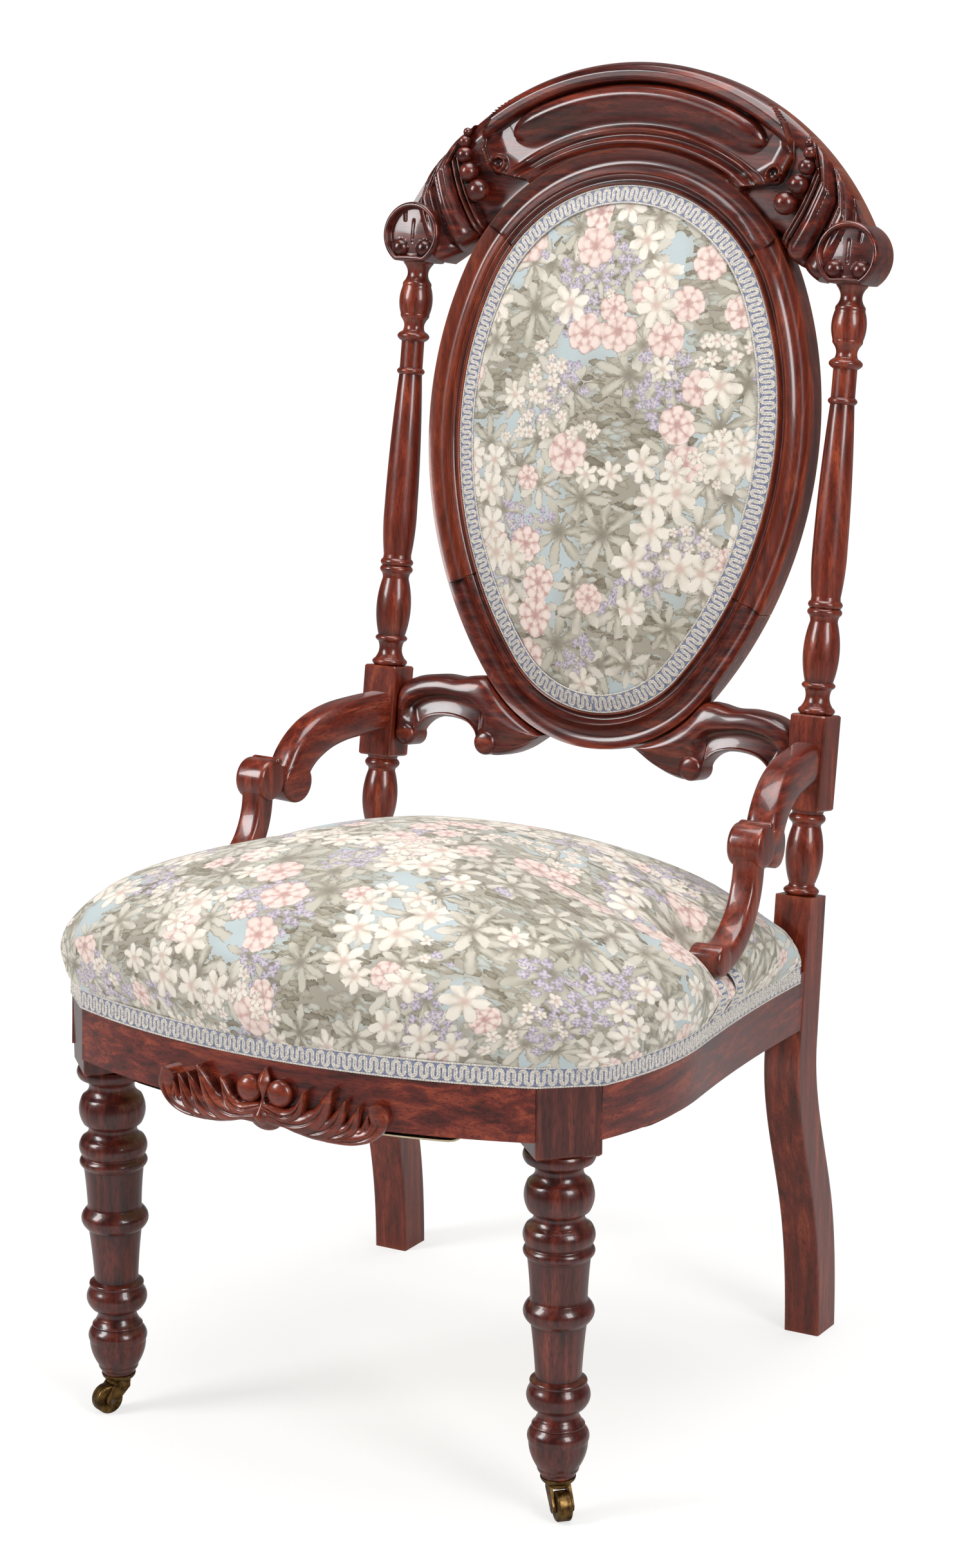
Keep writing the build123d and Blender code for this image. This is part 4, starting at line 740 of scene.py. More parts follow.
def woven(name, light, dark, thread):
    """Plain-woven cloth of one dull yarn: two sets of threads at right angles, each a row of rounded
    ridges one thread apart, with the yarn's own uneven tone and painted shade in the dips between ridges."""
    material, tree, shader = new_material(name)
    place = add_node(tree, "TexCoord").outputs["Object"]
    turns = math.pi / thread
    ridges = vector_node(tree, "MULTIPLY", place, (turns, turns, turns))
    waves = vector_node(tree, "SINE", ridges)
    rows = vector_node(tree, "ABSOLUTE", waves)
    each = add_node(tree, "SeparateXYZ", {0: rows})
    weft = number_node(tree, "MAXIMUM", each.outputs[1], each.outputs[2])
    weave = number_node(tree, "MULTIPLY", each.outputs[0], weft)
    slubs = add_node(tree, "TexNoise", {"Vector": place, "Scale": 1 / 0.006, "Detail": 3.0})
    tone = number_node(tree, "MULTIPLY", weave, slubs)
    # painted shade: the colour darkens in the dips between threads; the slubs give the yarn's own uneven tone
    dye_and_shade = ramp_node(tree, tone, (0.05, dark), (0.5, light))
    relief = add_node(tree, "Bump", {"Height": weave, "Strength": 0.35, "Distance": 0.0004})
    add_node(tree, shader, {"Base Color": dye_and_shade, "Normal": relief, "Roughness": 0.9, "Sheen Weight": 0.2,
                            "Specular IOR Level": 0.02})
    return material


jute = woven("jute_webbing", "#b39365", "#6f5634", 0.0022)
web_half_width, web_half_thickness, web_level = 25.0, 0.6, -49.5
web_columns, web_rows = (-75.0, 0.0, 75.0), (-115.0, -45.0, 25.0)
strip_section = rounded_square(web_half_width, web_half_thickness, 0.4, 3)
for name, offsets, low, high, lengthwise in (("webbing_long", web_columns, -262.0, 171.0, True),
                                             ("webbing_cross", web_rows, -201.0, 201.0, False)):
    run = np.linspace(low, high, 130)[:, None]
    grids = []
    for number, offset in enumerate(offsets):
        crossings = np.array(web_rows if lengthwise else web_columns)
        sign = np.array([1, -1, 1]) * (-1) ** number * (1 if lengthwise else -1)
        wave = sum(s * ridge(run - c, 30.0) for s, c in zip(sign, crossings))
        level = web_level + 0.8 * wave + strip_section[None, :, 1]
        beside = offset + strip_section[None, :, 0] + 0 * run
        along_run = run + 0 * strip_section[None, :, 0]
        strip = on_seat(beside, along_run, level) if lengthwise else on_seat(along_run, beside, level)
        grids.append(capped(strip))
    add_piece(name, grids, jute)


def square_rays(count):
    """Square grid whose points are told by two numbers: the share of the way from the middle to the
    edge, and the place where the ray meets the edge, from 0 to 4 round the square, from front left."""
    line = np.linspace(-1, 1, count)
    x, y = np.meshgrid(line, line, indexing="ij")
    share = np.maximum(np.abs(x), np.abs(y))
    u, v = x / np.where(share > 0, share, 1), y / np.where(share > 0, share, 1)
    place = np.select([v <= -1 + 1e-9, u >= 1 - 1e-9, v >= 1 - 1e-9],
                      [(u + 1) / 2, 1 + (v + 1) / 2, 2 + (1 - u) / 2], 3 + (1 - v) / 2)
    return share, place


def closed_rim(right_half, corners, place):
    """Points of a rim that is the same on both sides, at places round the square. The right half runs
    from the middle of the front to the middle of the back, and its two corners go to the square's."""
    half = np.asarray(right_half, float)
    run = lengths_along(half)
    marks = [np.argmin(np.hypot(*(half - corner).T)) for corner in corners]
    stations = (0, run[marks[0]], run[marks[1]], run[-1])
    there = np.mod(place - 0.5, 4)
    at = np.interp(np.where(there <= 2, there, 4 - there), (0, 0.5, 1.5, 2), stations)
    x, y = np.interp(at, run, half[:, 0]), np.interp(at, run, half[:, 1])
    return np.stack([np.where(there <= 2, x, -x), y], -1)


def fill_rim(count, right_half, corners, middle):
    """Square grid fitted into a rim: each point lies its share of the way from the middle to the rim.
    Gives the shares, the rim's points and the grid's."""
    share, place = square_rays(count)
    rim = closed_rim(right_half, corners, place)
    return share, rim, middle + share[..., None] * (rim - middle)


def cut_sheet(name, surface, material):
    """One open cloth surface from a grid. Its two extents and its faces' areas are worked out but not used."""
    piece = add_piece(name, [surface], material, rings=False)
    width, depth = np.ptp(surface[..., 0]) * 0.001, np.ptp(surface[..., 1:].reshape(-1, 2), axis=0)
    areas = np.empty(len(piece.data.polygons))
    piece.data.polygons.foreach_get("area", areas)


def seat_edge(inset, rear, notch):
    """Right half of the seat frame's plan, drawn in by an inset: bowed front, canted corner, swelling
    side that runs hollow to the post, and a notch round the post."""
    swell_x, swell_y, swell_turn = 244.0, -125.0, math.radians(9.5)
    side_reach = swell_x - (leg_x + half_diagonal)
    side_bow = (side_reach ** 2 + (swell_y - leg_y) ** 2) / (2 * side_reach)
    sweep = np.linspace(0, math.asin(leg_x / front_bow), 40)
    reach = front_bow - inset
    bow = np.stack([reach * np.sin(sweep), front_bow - seat_front - reach * np.cos(sweep)], -1)
    turn = np.linspace(-math.asin((swell_y - leg_y) / side_bow), swell_turn, 50)
    swell = np.array([swell_x - side_bow, swell_y]) + (side_bow - inset) * circle(turn)
    cant = swell[:1] + (bow[-1] - swell[:1]) * np.linspace(0.98, 0.02, 12)[:, None]
    end, corner = swell[-1], np.array([post_x + half_post - 0.5 - inset, notch])
    way = np.array([-math.sin(swell_turn), math.cos(swell_turn)])
    chord = corner - end
    side = np.array([way[1], -way[0]])
    bend = (chord @ chord) / (2 * (chord @ side))
    centre = end + bend * side
    first, last = (math.atan2(*(p - centre)[::-1]) for p in (end, corner))
    arc = np.linspace(first, last, 60)[1:]
    hollow = centre + abs(bend) * circle(arc)
    inner = post_x - half_post - 0.8
    steps = np.linspace(0, 1, 12)[:, None]
    front_of_post = corner + (np.array([inner, notch]) - corner) * steps[1:]
    by_post = np.array([inner, notch]) + np.array([0, rear - notch]) * steps[1:]
    back_edge = np.array([inner, rear]) * (1 - steps[1:]) + np.array([0, rear]) * steps[1:]
    return np.concatenate([bow, cant, swell, hollow, front_of_post, by_post, back_edge]), corner


rail_rear, canvas_level, base_level, pad_level = 187.2, 0.8, -51.8, 1.4
canvas = woven("linen_canvas", "#cfc3a8", "#978a6d", 0.0011)
sheet_count, seat_count, back_count = 49, 109, 81  # points along each side of a cloth's grid
middle = np.array([0.0, -40.0])
edge, rear_corner = seat_edge(4.0, rail_rear - 3, 152.5)
front_corner = np.array([leg_x + half_diagonal / 2, leg_y - half_diagonal / 2])
_, _, plan = fill_rim(sheet_count, edge, (front_corner, rear_corner), middle)
cut_sheet("seat_canvas", on_seat(plan[..., 0], plan[..., 1], canvas_level), canvas)

underlining = woven("cotton_base_cloth", "#cdbb98", "#9c8a68", 0.0012)
edge, rear_corner = seat_edge(5.5, rail_rear - 5, 142.0)
open_corner = np.array([[141.0, -258.0], [137.0, -203.5], [189.5, -151.0], [232.0, -152.0]])
bow_part, side_part = edge[(edge[:, 0] < 141) & (edge[:, 1] < -200)], edge[edge[:, 1] > -152]
joined = [np.linspace(first, last, 12)[:-1] for first, last in zip(
    np.vstack([bow_part[-1:], open_corner]), np.vstack([open_corner, side_part[:1]]))]
share, _, plan = fill_rim(sheet_count, np.concatenate([bow_part[:-1], *joined, side_part]),
                          (open_corner[1], rear_corner), middle)
sag = 15.0 * (1 - share ** 8) + 1.2 * np.sin(plan[..., 0] / 31) * np.sin(plan[..., 1] / 37) * (1 - share)
cut_sheet("base_cloth", on_seat(plan[..., 0], plan[..., 1], base_level - sag), underlining)

# Seat upholstery. Hair and wadding built up over the canvas into a high crown, under a woven floral
# tapestry that is strained over the rails, tacked along them and slit for the arm supports.


def blossoms(tree, place, spacing, petals, reach, waist, point, seed):
    """Flowers scattered one to a cell: the cell's middle is the flower's, and its edge lies at a reach
    that draws in to the waist between petals, round-ended or pointed. Gives the height inside that edge,
    the share of the way out, the turn round the flower and a chance number for each."""
    moved = vector_node(tree, "ADD", place, (seed * 37.0, seed * 91.0, 0))
    cells = add_node(tree, "TexVoronoi", {"Vector": moved, "Scale": 1 / spacing,
                                          "Randomness": 0.72}, voronoi_dimensions="2D")
    away = vector_node(tree, "SUBTRACT", moved, cells.outputs["Position"])
    chance = add_node(tree, "SeparateColor", {0: cells.outputs["Color"]})
    each = add_node(tree, "SeparateXYZ", {0: away})
    span = vector_node(tree, "LENGTH", away)
    angle = number_node(tree, "ARCTAN2", each.outputs[1], each.outputs[0])
    start = number_node(tree, "MULTIPLY_ADD", chance.outputs[0], 6.283, angle)
    lobe = number_node(tree, "MULTIPLY", start, petals / 2)
    wave = number_node(tree, "COSINE", lobe)
    arch = number_node(tree, "POWER", number_node(tree, "ABSOLUTE", wave), point)
    grown = add_node(tree, "MapRange", {"Value": chance.outputs[1], "To Min": 0.66, "To Max": 1.14})
    full = add_node(tree, "MapRange", {"Value": arch, "To Min": reach * waist, "To Max": reach})
    edge_at = number_node(tree, "MULTIPLY", full, grown)
    inside = number_node(tree, "SUBTRACT", edge_at, span)
    outward = number_node(tree, "DIVIDE", span, edge_at)
    home = vector_node(tree, "ADD", cells.outputs["Position"], (-seed * 37.0, -seed * 91.0, 0))
    return {"inside": inside, "outward": outward, "petal": arch,
            "turn": start, "chance": chance.outputs[2], "home": home}


def tapestry(name):
    """Jacquard tapestry of cotton and rayon, in a soft scattered floral: leaf beds in sage and taupe over
    pale blue, then cream, rose and lilac flowers in drifts, all stepped to the fine ribs of the weave.
    Lengths in it are metres on the cloth."""
    material, tree, shader = new_material(name)
    cloth = add_node(tree, "UVMap", uv_map="cloth")
    rib, pick = 0.00085, 0.0006  # ribs and picks are finer on the real cloth, drawn wide enough to show
    ragged = add_node(tree, "TexNoise", {"Vector": cloth, "Scale": 1 / 0.005, "Detail": 3.0},
                      noise_dimensions="2D")
    offset = vector_node(tree, "SUBTRACT", ragged.outputs["Color"], (0.5, 0.5, 0.5))
    wavering = vector_node(tree, "MULTIPLY_ADD", offset, (0.0036, 0.0036, 0), cloth)
    place = vector_node(tree, "SNAP", wavering, (rib, pick, 1))
    drift = add_node(tree, "TexNoise", {"Vector": cloth, "Scale": 1 / 0.085, "Detail": 1.0},
                     noise_dimensions="2D")
    painted = ramp_node(tree, drift, (0.36, "#a19a8c"), (0.66, "#b9c4c6"), (0.50, "#aaa394"), (0.57, "#b3bab8"))
    for angle, seed, long, wide, cut in ((0.7, 1.0, 0.019, 0.0072, 0.36), (-0.5, 2.0, 0.016, 0.006, 0.44),
                                         (1.5, 3.0, 0.013, 0.0055, 0.52)):
        laid = add_node(tree, "Mapping", {"Vector": place, "Rotation": (0, 0, angle),
                                          "Location": (seed, seed, 0), "Scale": (1 / long, 1 / wide, 1)})
        bend = add_node(tree, "TexNoise", {"Vector": laid, "Scale": 0.35}, noise_dimensions="2D")
        bent = vector_node(tree, "MULTIPLY_ADD", bend.outputs["Color"], (1.5, 1.5, 0), laid)
        leaf = add_node(tree, "TexVoronoi", {"Vector": bent, "Scale": 1.0, "Randomness": 0.9},
                        voronoi_dimensions="2D")
        tint = add_node(tree, "SeparateColor", {0: leaf.outputs["Color"]})
        green = ramp_node(tree, tint.outputs[0], (0.0, "#867e70"), (1.0, "#c8c2b6"), (0.3, "#a09a8b"),
                          (0.55, "#b5afa2"), (0.8, "#b9bfbb"))
        rim = ramp_node(tree, leaf, (0.02, "#f4f0e6"), (0.5, "#90877a"), (0.12, "#ffffff"), (0.38, "#dcd7ca"))
        veined = mix_node(tree, 0.8, green, rim, "MULTIPLY")
        sparse = add_node(tree, "MapRange", {"Value": drift, "From Min": 0.54, "From Max": 0.64,
                                             "To Min": cut, "To Max": 1.0})
        shown = number_node(tree, "GREATER_THAN", tint.outputs[1], sparse)
        body = number_node(tree, "LESS_THAN", leaf, 0.47)
        laid_on = number_node(tree, "MULTIPLY", shown, body)
        painted = mix_node(tree, laid_on, painted, veined)
    kinds = (
        (0.045, 7, 0.0320, 0.20, 1.6, 2.0, 0.40, ("#8f8879", "#cbc5b7", "#aaa495"), "#80786a", "#756c60"),
        (0.036, 6, 0.0250, 0.22, 1.5, 3.0, 0.48, ("#9d9485", "#d9d3c6", "#bab3a5"), "#877d6e", "#756c60"),
        (0.0090, 4, 0.0047, 0.5, 0.6, 5.0, 0.60, ("#958b9f", "#cac1cd", "#ada2b5"), "#ddd2c0", "#857c82"),
        (0.034, 7, 0.0168, 0.84, 0.6, 7.0, 0.545, ("#c39d94", "#eddbd2", "#dcc3ba"), "#b58a83", "#84736a"),
        (0.0135, 5, 0.0068, 0.45, 0.6, 9.0, 0.66, ("#cbbfb2", "#e9e1d5", "#dcd1c4"), "#c8a699", "#8a7f74"),
        (0.030, 6, 0.0178, 0.40, 0.8, 11.0, 0.545, ("#c6bbac", "#ece5d9", "#dcd3c5"), "#cbaca0", "#857a6e"))
    for spacing, petals, reach, waist, point, seed, threshold, (deep, light, mid), heart, outline in kinds:
        flower = blossoms(tree, place, spacing, petals, reach, waist, point, seed)
        bed = vector_node(tree, "ADD", flower["home"], (seed * 3.1, seed * 1.7, 0))
        drifts = add_node(tree, "TexNoise", {"Vector": bed, "Scale": 1 / 0.075, "Detail": 1.0},
                          noise_dimensions="2D")
        grows = number_node(tree, "GREATER_THAN", drifts, threshold)
        twist = 15.0 if waist > 0.8 else 4.0
        whorl = number_node(tree, "MULTIPLY_ADD", flower["outward"], twist, flower["turn"])
        fold = number_node(tree, "SINE", whorl)
        shade = number_node(tree, "MULTIPLY_ADD", fold, 0.22, flower["petal"])
        petal = ramp_node(tree, shade, (0.25, deep), (0.95, light), (0.6, mid))
        dyed = add_node(tree, "MapRange", {"Value": flower["chance"], "To Min": 0.0, "To Max": 0.35})
        mixed = mix_node(tree, dyed, petal, colour(mid))
        centre = add_node(tree, "MapRange", {"Value": flower["outward"], "From Min": 0.12, "From Max": 0.34,
                                             "To Min": 0.8, "To Max": 0.0})
        eyed = mix_node(tree, centre, mixed, colour(heart))
        line = add_node(tree, "MapRange", {"Value": flower["inside"], "From Min": 0.0, "From Max": 0.0012,
                                           "To Min": 0.8, "To Max": 0.0})
        drawn = mix_node(tree, line, eyed, colour(outline))
        within = number_node(tree, "GREATER_THAN", flower["inside"], 0.0)
        bloom = number_node(tree, "MULTIPLY", within, grows)
        painted = mix_node(tree, bloom, painted, drawn)
    threads = vector_node(tree, "MULTIPLY", cloth, (math.pi / rib, math.pi / pick, 0))
    rows = vector_node(tree, "SINE", threads)
    ridges = add_node(tree, "SeparateXYZ", {0: vector_node(tree, "ABSOLUTE", rows)})
    nap = number_node(tree, "MULTIPLY", ridges.outputs[0], ridges.outputs[1])
    # painted shade: the colour darkens in the dips between the ribs and picks of the weave
    shading = add_node(tree, "MapRange", {"Value": nap, "To Min": 0.74, "To Max": 0.94})
    spread = vector_node(tree, "MULTIPLY", painted, shading)
    relief = add_node(tree, "Bump", {"Height": nap, "Strength": 0.3, "Distance": 0.0003})
    add_node(tree, shader, {"Base Color": spread, "Normal": relief, "Roughness": 0.78, "Sheen Weight": 0.15,
                            "Specular IOR Level": 0.25})
    return material


def settle(surface, tacked, pressure, cap):
    """Lets a cloth surface be blown out by its stuffing for twenty frames, held where it is tacked, and
    gives the points back, none moved by more than the cap."""
    count, frames = surface.shape[0], 20
    index = np.arange(count * count).reshape(count, count)
    mesh = bpy.data.meshes.new("cloth")
    mesh.from_pydata((surface.reshape(-1, 3) * 0.001).tolist(), [], grid_quads(index).tolist())
    sheet = new_object("cloth", mesh)
    group = sheet.vertex_groups.new(name="tacked")
    for level in (0.25, 0.5, 0.75, 1.0):
        chosen = np.flatnonzero(np.round(tacked.ravel() * 4) / 4 == level)
        group.add(chosen.tolist(), level, "REPLACE")
    cloth = sheet.modifiers.new("cloth", "CLOTH")
    cloth.settings.quality = 6
    cloth.settings.mass = 0.3
    cloth.settings.tension_stiffness = cloth.settings.compression_stiffness = 15.0
    cloth.settings.bending_stiffness = 0.8
    cloth.settings.use_pressure = True
    cloth.settings.uniform_pressure_force = pressure
    cloth.settings.vertex_group_mass = "tacked"
    cloth.settings.effector_weights.gravity = 0
    cloth.point_cache.frame_start, cloth.point_cache.frame_end = 1, frames
    for step in range(1, frames + 1):
        bpy.context.scene.frame_set(step)
    blown = sheet.evaluated_get(bpy.context.evaluated_depsgraph_get()).data
    points = np.empty(count * count * 3)
    blown.vertices.foreach_get("co", points)
    bpy.context.scene.frame_set(1)
    bpy.data.objects.remove(sheet)
    bpy.data.meshes.remove(mesh)
    move = points.reshape(count, count, 3) * 1000 - surface
    far = np.linalg.norm(move, axis=-1, keepdims=True)
    return surface + move * np.minimum(1, cap / np.maximum(far, 1e-9))


def stuffed(name, surface, flat, floor):
    """A closed pad: the cover's surface and a flat under side on the same grid that shares its border,
    with the cloth's own flat coordinates in metres, smoothed by one subdivision."""
    count = surface.shape[0]
    index = np.arange(count * count).reshape(count, count)
    below = index.copy()
    below[1:-1, 1:-1] = count * count + np.arange((count - 2) ** 2).reshape(count - 2, count - 2)
    quads = np.concatenate([grid_quads(index), np.roll(grid_quads(below)[:, ::-1], 1, axis=1)])
    points = np.concatenate([surface.reshape(-1, 3), floor[1:-1, 1:-1].reshape(-1, 3)]) * 0.001
    mesh = bpy.data.meshes.new(name)
    mesh.from_pydata(points.tolist(), [], quads.tolist())
    corners = np.empty(len(mesh.loops), dtype=np.int32)
    mesh.loops.foreach_get("vertex_index", corners)
    spread = np.concatenate([flat.reshape(-1, 2), flat[1:-1, 1:-1].reshape(-1, 2)])[corners]
    mesh.uv_layers.new(name="cloth").data.foreach_set("uv", spread.astype(np.float32).ravel())
    mesh.shade_smooth()
    mesh.materials.append(floral)
    piece = new_object(name, mesh)
    finer = piece.modifiers.new("finer", "SUBSURF")
    finer.levels = finer.render_levels = 1
    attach(piece, "chair")
    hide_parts(name)


floral = tapestry("jacquard_tapestry")
crown_height, crown_bend, crown_y = 121.0, 610.0, -75.0
edge, rear_corner = seat_edge(0.0, rail_rear, 153.4)
middle = np.array([0.0, -20.0])
share, rim, floor_plan = fill_rim(seat_count, edge, (front_corner, rear_corner), middle)
inward = 1 - share
knots = (0, 0.03, 0.07, 0.12, 0.18, 0.25, 0.34, 0.48, 0.7, 1)
narrowing = clamped_spline(inward, knots, (0.99, 1.012, 1.034, 1.047, 1.043, 1.008, 0.925, 0.74, 0.43, 0),
                           0.8, -1.43)
rise = clamped_spline(inward, knots, (0.0, 0.13, 0.33, 0.57, 0.79, 0.93, 0.985, 1.0, 1.0, 1.0), 4.3, 0)
by_post = smooth(150, 172, np.abs(rim[..., 0])) * smooth(120, 150, rim[..., 1])
behind = smooth(150, 180, rim[..., 1])
narrowing = np.where(narrowing > 0.99, 0.99 + (narrowing - 0.99) * (1 - np.maximum(by_post, behind)), narrowing)
plan = middle + narrowing[..., None] * (rim - middle)
crown = crown_height - crown_bend + np.sqrt(np.clip(
    crown_bend ** 2 - plan[..., 0] ** 2 - (plan[..., 1] - crown_y) ** 2, 0, None))
crown = crown - 9 * smooth(120, 220, np.abs(plan[..., 0])) * smooth(0, 160, plan[..., 1])
lift = 1.0 + crown * rise
foot_y, dent_depth, dent_before, dent_behind = -31.0, 37.0, 40.0, 46.0  # the hollow under each arm's foot
side_x, from_foot = np.abs(plan[..., 0]), plan[..., 1] - foot_y
dent = ridge(from_foot, np.where(from_foot < 0, dent_before, dent_behind)) * smooth(158, 214, side_x)
lift = lift - dent_depth * dent * smooth(8, 68, lift)
surface = on_seat(plan[..., 0], plan[..., 1], lift)
tacked = np.maximum((share > 0.9999) * 1.0, np.clip(dent * 1.3, 0, 1) * (dent > 0.3))
seat_cover = settle(surface, tacked, 3.0, 7.0)
unrolled = clamped_spline(inward, knots, (1.24, 1.2, 1.14, 1.08, 1.02, 0.95, 0.85, 0.68, 0.4, 0), -1.4, -1.33)
flat = middle + unrolled[..., None] * (rim - middle)
floor_plan = middle + 0.985 * (floor_plan - middle)
stuffed("seat_pad", seat_cover, flat * 0.001, on_seat(floor_plan[..., 0], floor_plan[..., 1], pad_level))

# Back upholstery. A shallower pad of the same tapestry inside the oval, on a canvas that is tacked to the
# frame's rebate, and a plain cotton cloth that is stretched over the back of the frame.
egg_centre = np.array([0.0, 322.0])
back_pad_level, back_canvas_level, back_cloth_level = -1.3, -2.2, -15.5
turns = even_turns(90, -90, 400)
right_half = np.stack(egg(turns, -1.0), -1)[::-1]
egg_corners = [right_half[np.argmin(np.abs(right_half[:, 1] - y))] for y in (180.0, 470.0)]
share, _, plan = fill_rim(back_count, right_half, egg_corners, egg_centre)
inward = 1 - share
dome = clamped_spline(inward, (0, 0.05, 0.12, 0.22, 0.36, 0.6, 1),
                      (2.0, 4.4, 8.2, 12.4, 16.2, 19.0, 20.4), 55, 0)
surface = on_back(plan[..., 0], plan[..., 1], dome)
surface = settle(surface, (share > 0.9999) * 1.0, 2.0, 3.0)
stuffed("back_pad", surface, (plan - egg_centre) * 0.001 + np.array([0.7, 0.4]),
        on_back(plan[..., 0], plan[..., 1], back_pad_level))
share, _, plan = fill_rim(sheet_count, np.stack(egg(turns, -2.0), -1)[::-1], egg_corners, egg_centre)
cut_sheet("back_canvas", on_back(plan[..., 0], plan[..., 1], back_canvas_level + 0 * share), canvas)
share, _, plan = fill_rim(sheet_count, np.stack(egg(turns, 9.0), -1)[::-1], egg_corners, egg_centre)
bowed = back_cloth_level - 1.2 * (1 - share ** 2) + 2.5 * (1 - share ** 2) * smooth(0.95, 0.6, share)
outside_cloth = woven("cotton_outside_back", "#c9c2ae", "#8f8772", 0.001)
cut_sheet("back_cloth", on_back(plan[..., 0], plan[..., 1], bowed), outside_cloth)

# Braid. Woven gimp glued over the tacks round the seat and the back: a blue-grey band that carries two
# cream cords in close loops and a beaded cord along each edge.


def yarn(name, light, dark, twist):
    """Twisted cotton cord: fine slanting strands, pale on their crowns and darker between them, where shade is
    painted.
    """
    material, tree, shader = new_material(name)
    place = add_node(tree, "TexCoord").outputs["Object"]
    strands = add_node(tree, "TexNoise", {"Vector": place, "Scale": 1 / twist, "Detail": 2.0})
    # painted shade: the colour is darker between the strands
    dye_and_shade = ramp_node(tree, strands, (0.36, dark), (0.6, light))
    relief = add_node(tree, "Bump", {"Height": strands, "Strength": 0.4, "Distance": 0.0003})
    add_node(tree, shader, {"Base Color": dye_and_shade, "Normal": relief, "Roughness": 0.7, "Sheen Weight": 0.2})
    return material


cord_yarn = yarn("cream_gimp_cord", "#d6cfc3", "#8e8a89", 0.0008)
band_yarn = yarn("blue_grey_gimp_band", "#7d839c", "#545b76", 0.0009)


def gimp(name, runs):
    """Gimp along runs, each a path with its own up and outward ways. A loop of cord goes along by an
    even step and a second wave, and up and down by one wave a pitch; the two cords lie either side."""
    pitch, swing, thick, bead_length, edge_height = 8.4, 4.8, 0.74, 2.1, 7.0
    bands, cords = [], []
    for path, up, out in runs:
        run = lengths_along(path)
        loops = max(2, round(run[-1] / pitch))
        step = run[-1] / loops

        def lay(at, high, proud, ways=(path, up, out), run=run):
            """Points at a length along the run, a height across it and a distance proud of it."""
            spot, lift, face = (np.stack([np.interp(at, run, w[:, i]) for i in range(3)], -1) for w in ways)
            return spot + high[..., None] * lift + proud[..., None] * face

        across = np.array([-7.6, -6.5, 0, 6.5, 7.6, 6.5, 0, -6.5])
        depth = np.array([0.4, 1.0, 1.1, 1.0, 0.4, 0.1, 0.1, 0.1])
        along_run = np.linspace(0, run[-1], loops * 3)[:, None] + 0 * across
        band = lay(along_run, across + 0 * along_run, depth + 0 * along_run)
        bands.append(capped(band))
        ring = np.linspace(0, 2 * math.pi, 6, endpoint=False)
        phase = np.linspace(0, 2 * math.pi * loops, loops * 14 + 1)
        x, y = step * phase / (2 * math.pi) - 0.95 * np.sin(2 * phase), swing * np.sin(phase)
        dx, dy = np.gradient(x), np.gradient(y)
        size = np.hypot(dx, dy)
        for side in (-1.0, 1.0):
            cx = np.clip(x - side * thick * dy / size, 0, run[-1])
            cy = y + side * thick * dx / size
            nx, ny = -dy / size, dx / size
            tube = lay(cx[:, None] + thick * np.cos(ring) * nx[:, None],
                       cy[:, None] + thick * np.cos(ring) * ny[:, None],
                       1.15 + 0.6 * thick * np.sin(ring) + 0 * cx[:, None])
            cords.append(tube)
        beads = int(run[-1] / bead_length)
        phase = np.linspace(0, beads * math.pi, beads * 4 + 1)
        swollen = 0.55 + 0.35 * np.abs(np.sin(phase))
        for high in (-edge_height, edge_height):
            at = np.linspace(0, run[-1], len(phase))[:, None] + 0 * ring
            tube = lay(at, high + swollen[:, None] * np.cos(ring), 0.9 + swollen[:, None] * np.sin(ring))
            cords.append(tube)
    add_piece(name, bands, band_yarn)
    add_piece(name + "_cords", cords, cord_yarn, 80)


def path_ways(plan, lift):
    """Path in the seat frame from a plan, with the up way of the rails and the plan's outward way."""
    plan = plan[np.concatenate([[True], np.hypot(*np.diff(plan, axis=0).T) > 1e-6])]
    run, steps = lengths_along(plan), 700
    even = np.linspace(0, run[-1], steps)
    plan = np.stack([np.interp(even, run, plan[:, i]) for i in range(2)], -1)
    reach = 4  # points averaged to each side, so that the braid turns a corner softly
    kernel = np.ones(2 * reach + 1) / (2 * reach + 1)
    heading = unit(np.gradient(plan, axis=0))
    turned = unit(np.stack([np.convolve(np.pad(heading[:, i], reach, "edge"), kernel, "valid")
                            for i in range(2)], -1))
    out = turned[:, :1] * -seat_deep + turned[:, 1:] * right_way
    return on_seat(plan[:, 0], plan[:, 1], lift), np.broadcast_to(seat_up, (steps, 3)), out


edge, rear_corner = seat_edge(0.0, rail_rear, 153.4)
half = edge[:np.argmin(np.hypot(*(edge - rear_corner).T)) + 1]
round_seat = np.concatenate([half[::-1] * np.array([-1, 1]), half[1:]])
seat_runs = [path_ways(round_seat, 0.0)]
above_rails = seat_cover - np.array([0, 0, seat_height])
pad_height, pad_back = above_rails @ seat_up, above_rails @ seat_deep
for back, top in ((-50.0, 38.0), (-10.0, 38.0), (145.0, 46.0)):
    side_face = (np.abs(pad_back - back) < 5) & (seat_cover[..., 0] > 150) & (pad_height < top + 6)
    bulge = np.polyfit(pad_height[side_face], seat_cover[side_face, 0], 3)
    rows = 60
    height = np.linspace(7.0, top, rows)
    for side in (1, -1):
        seat_runs.append((on_seat(side * (np.polyval(bulge, height) + 0.5), np.full(rows, back), height),
                          np.broadcast_to(seat_deep, (rows, 3)), np.broadcast_to(side * right_way, (rows, 3))))
gimp("seat_braid", seat_runs)
turn = even_turns(270, -90, 900)
x, y = egg(turn, -7.8)
flat_way = circle(np.radians(turn))
outward = flat_way[:, :1] * right_way + flat_way[:, 1:] * rise_way
gimp("back_braid", [(on_back(x, y, 4.2 + 0 * x), outward - 0.32 * front_way,
                     np.broadcast_to(front_way, outward.shape))])

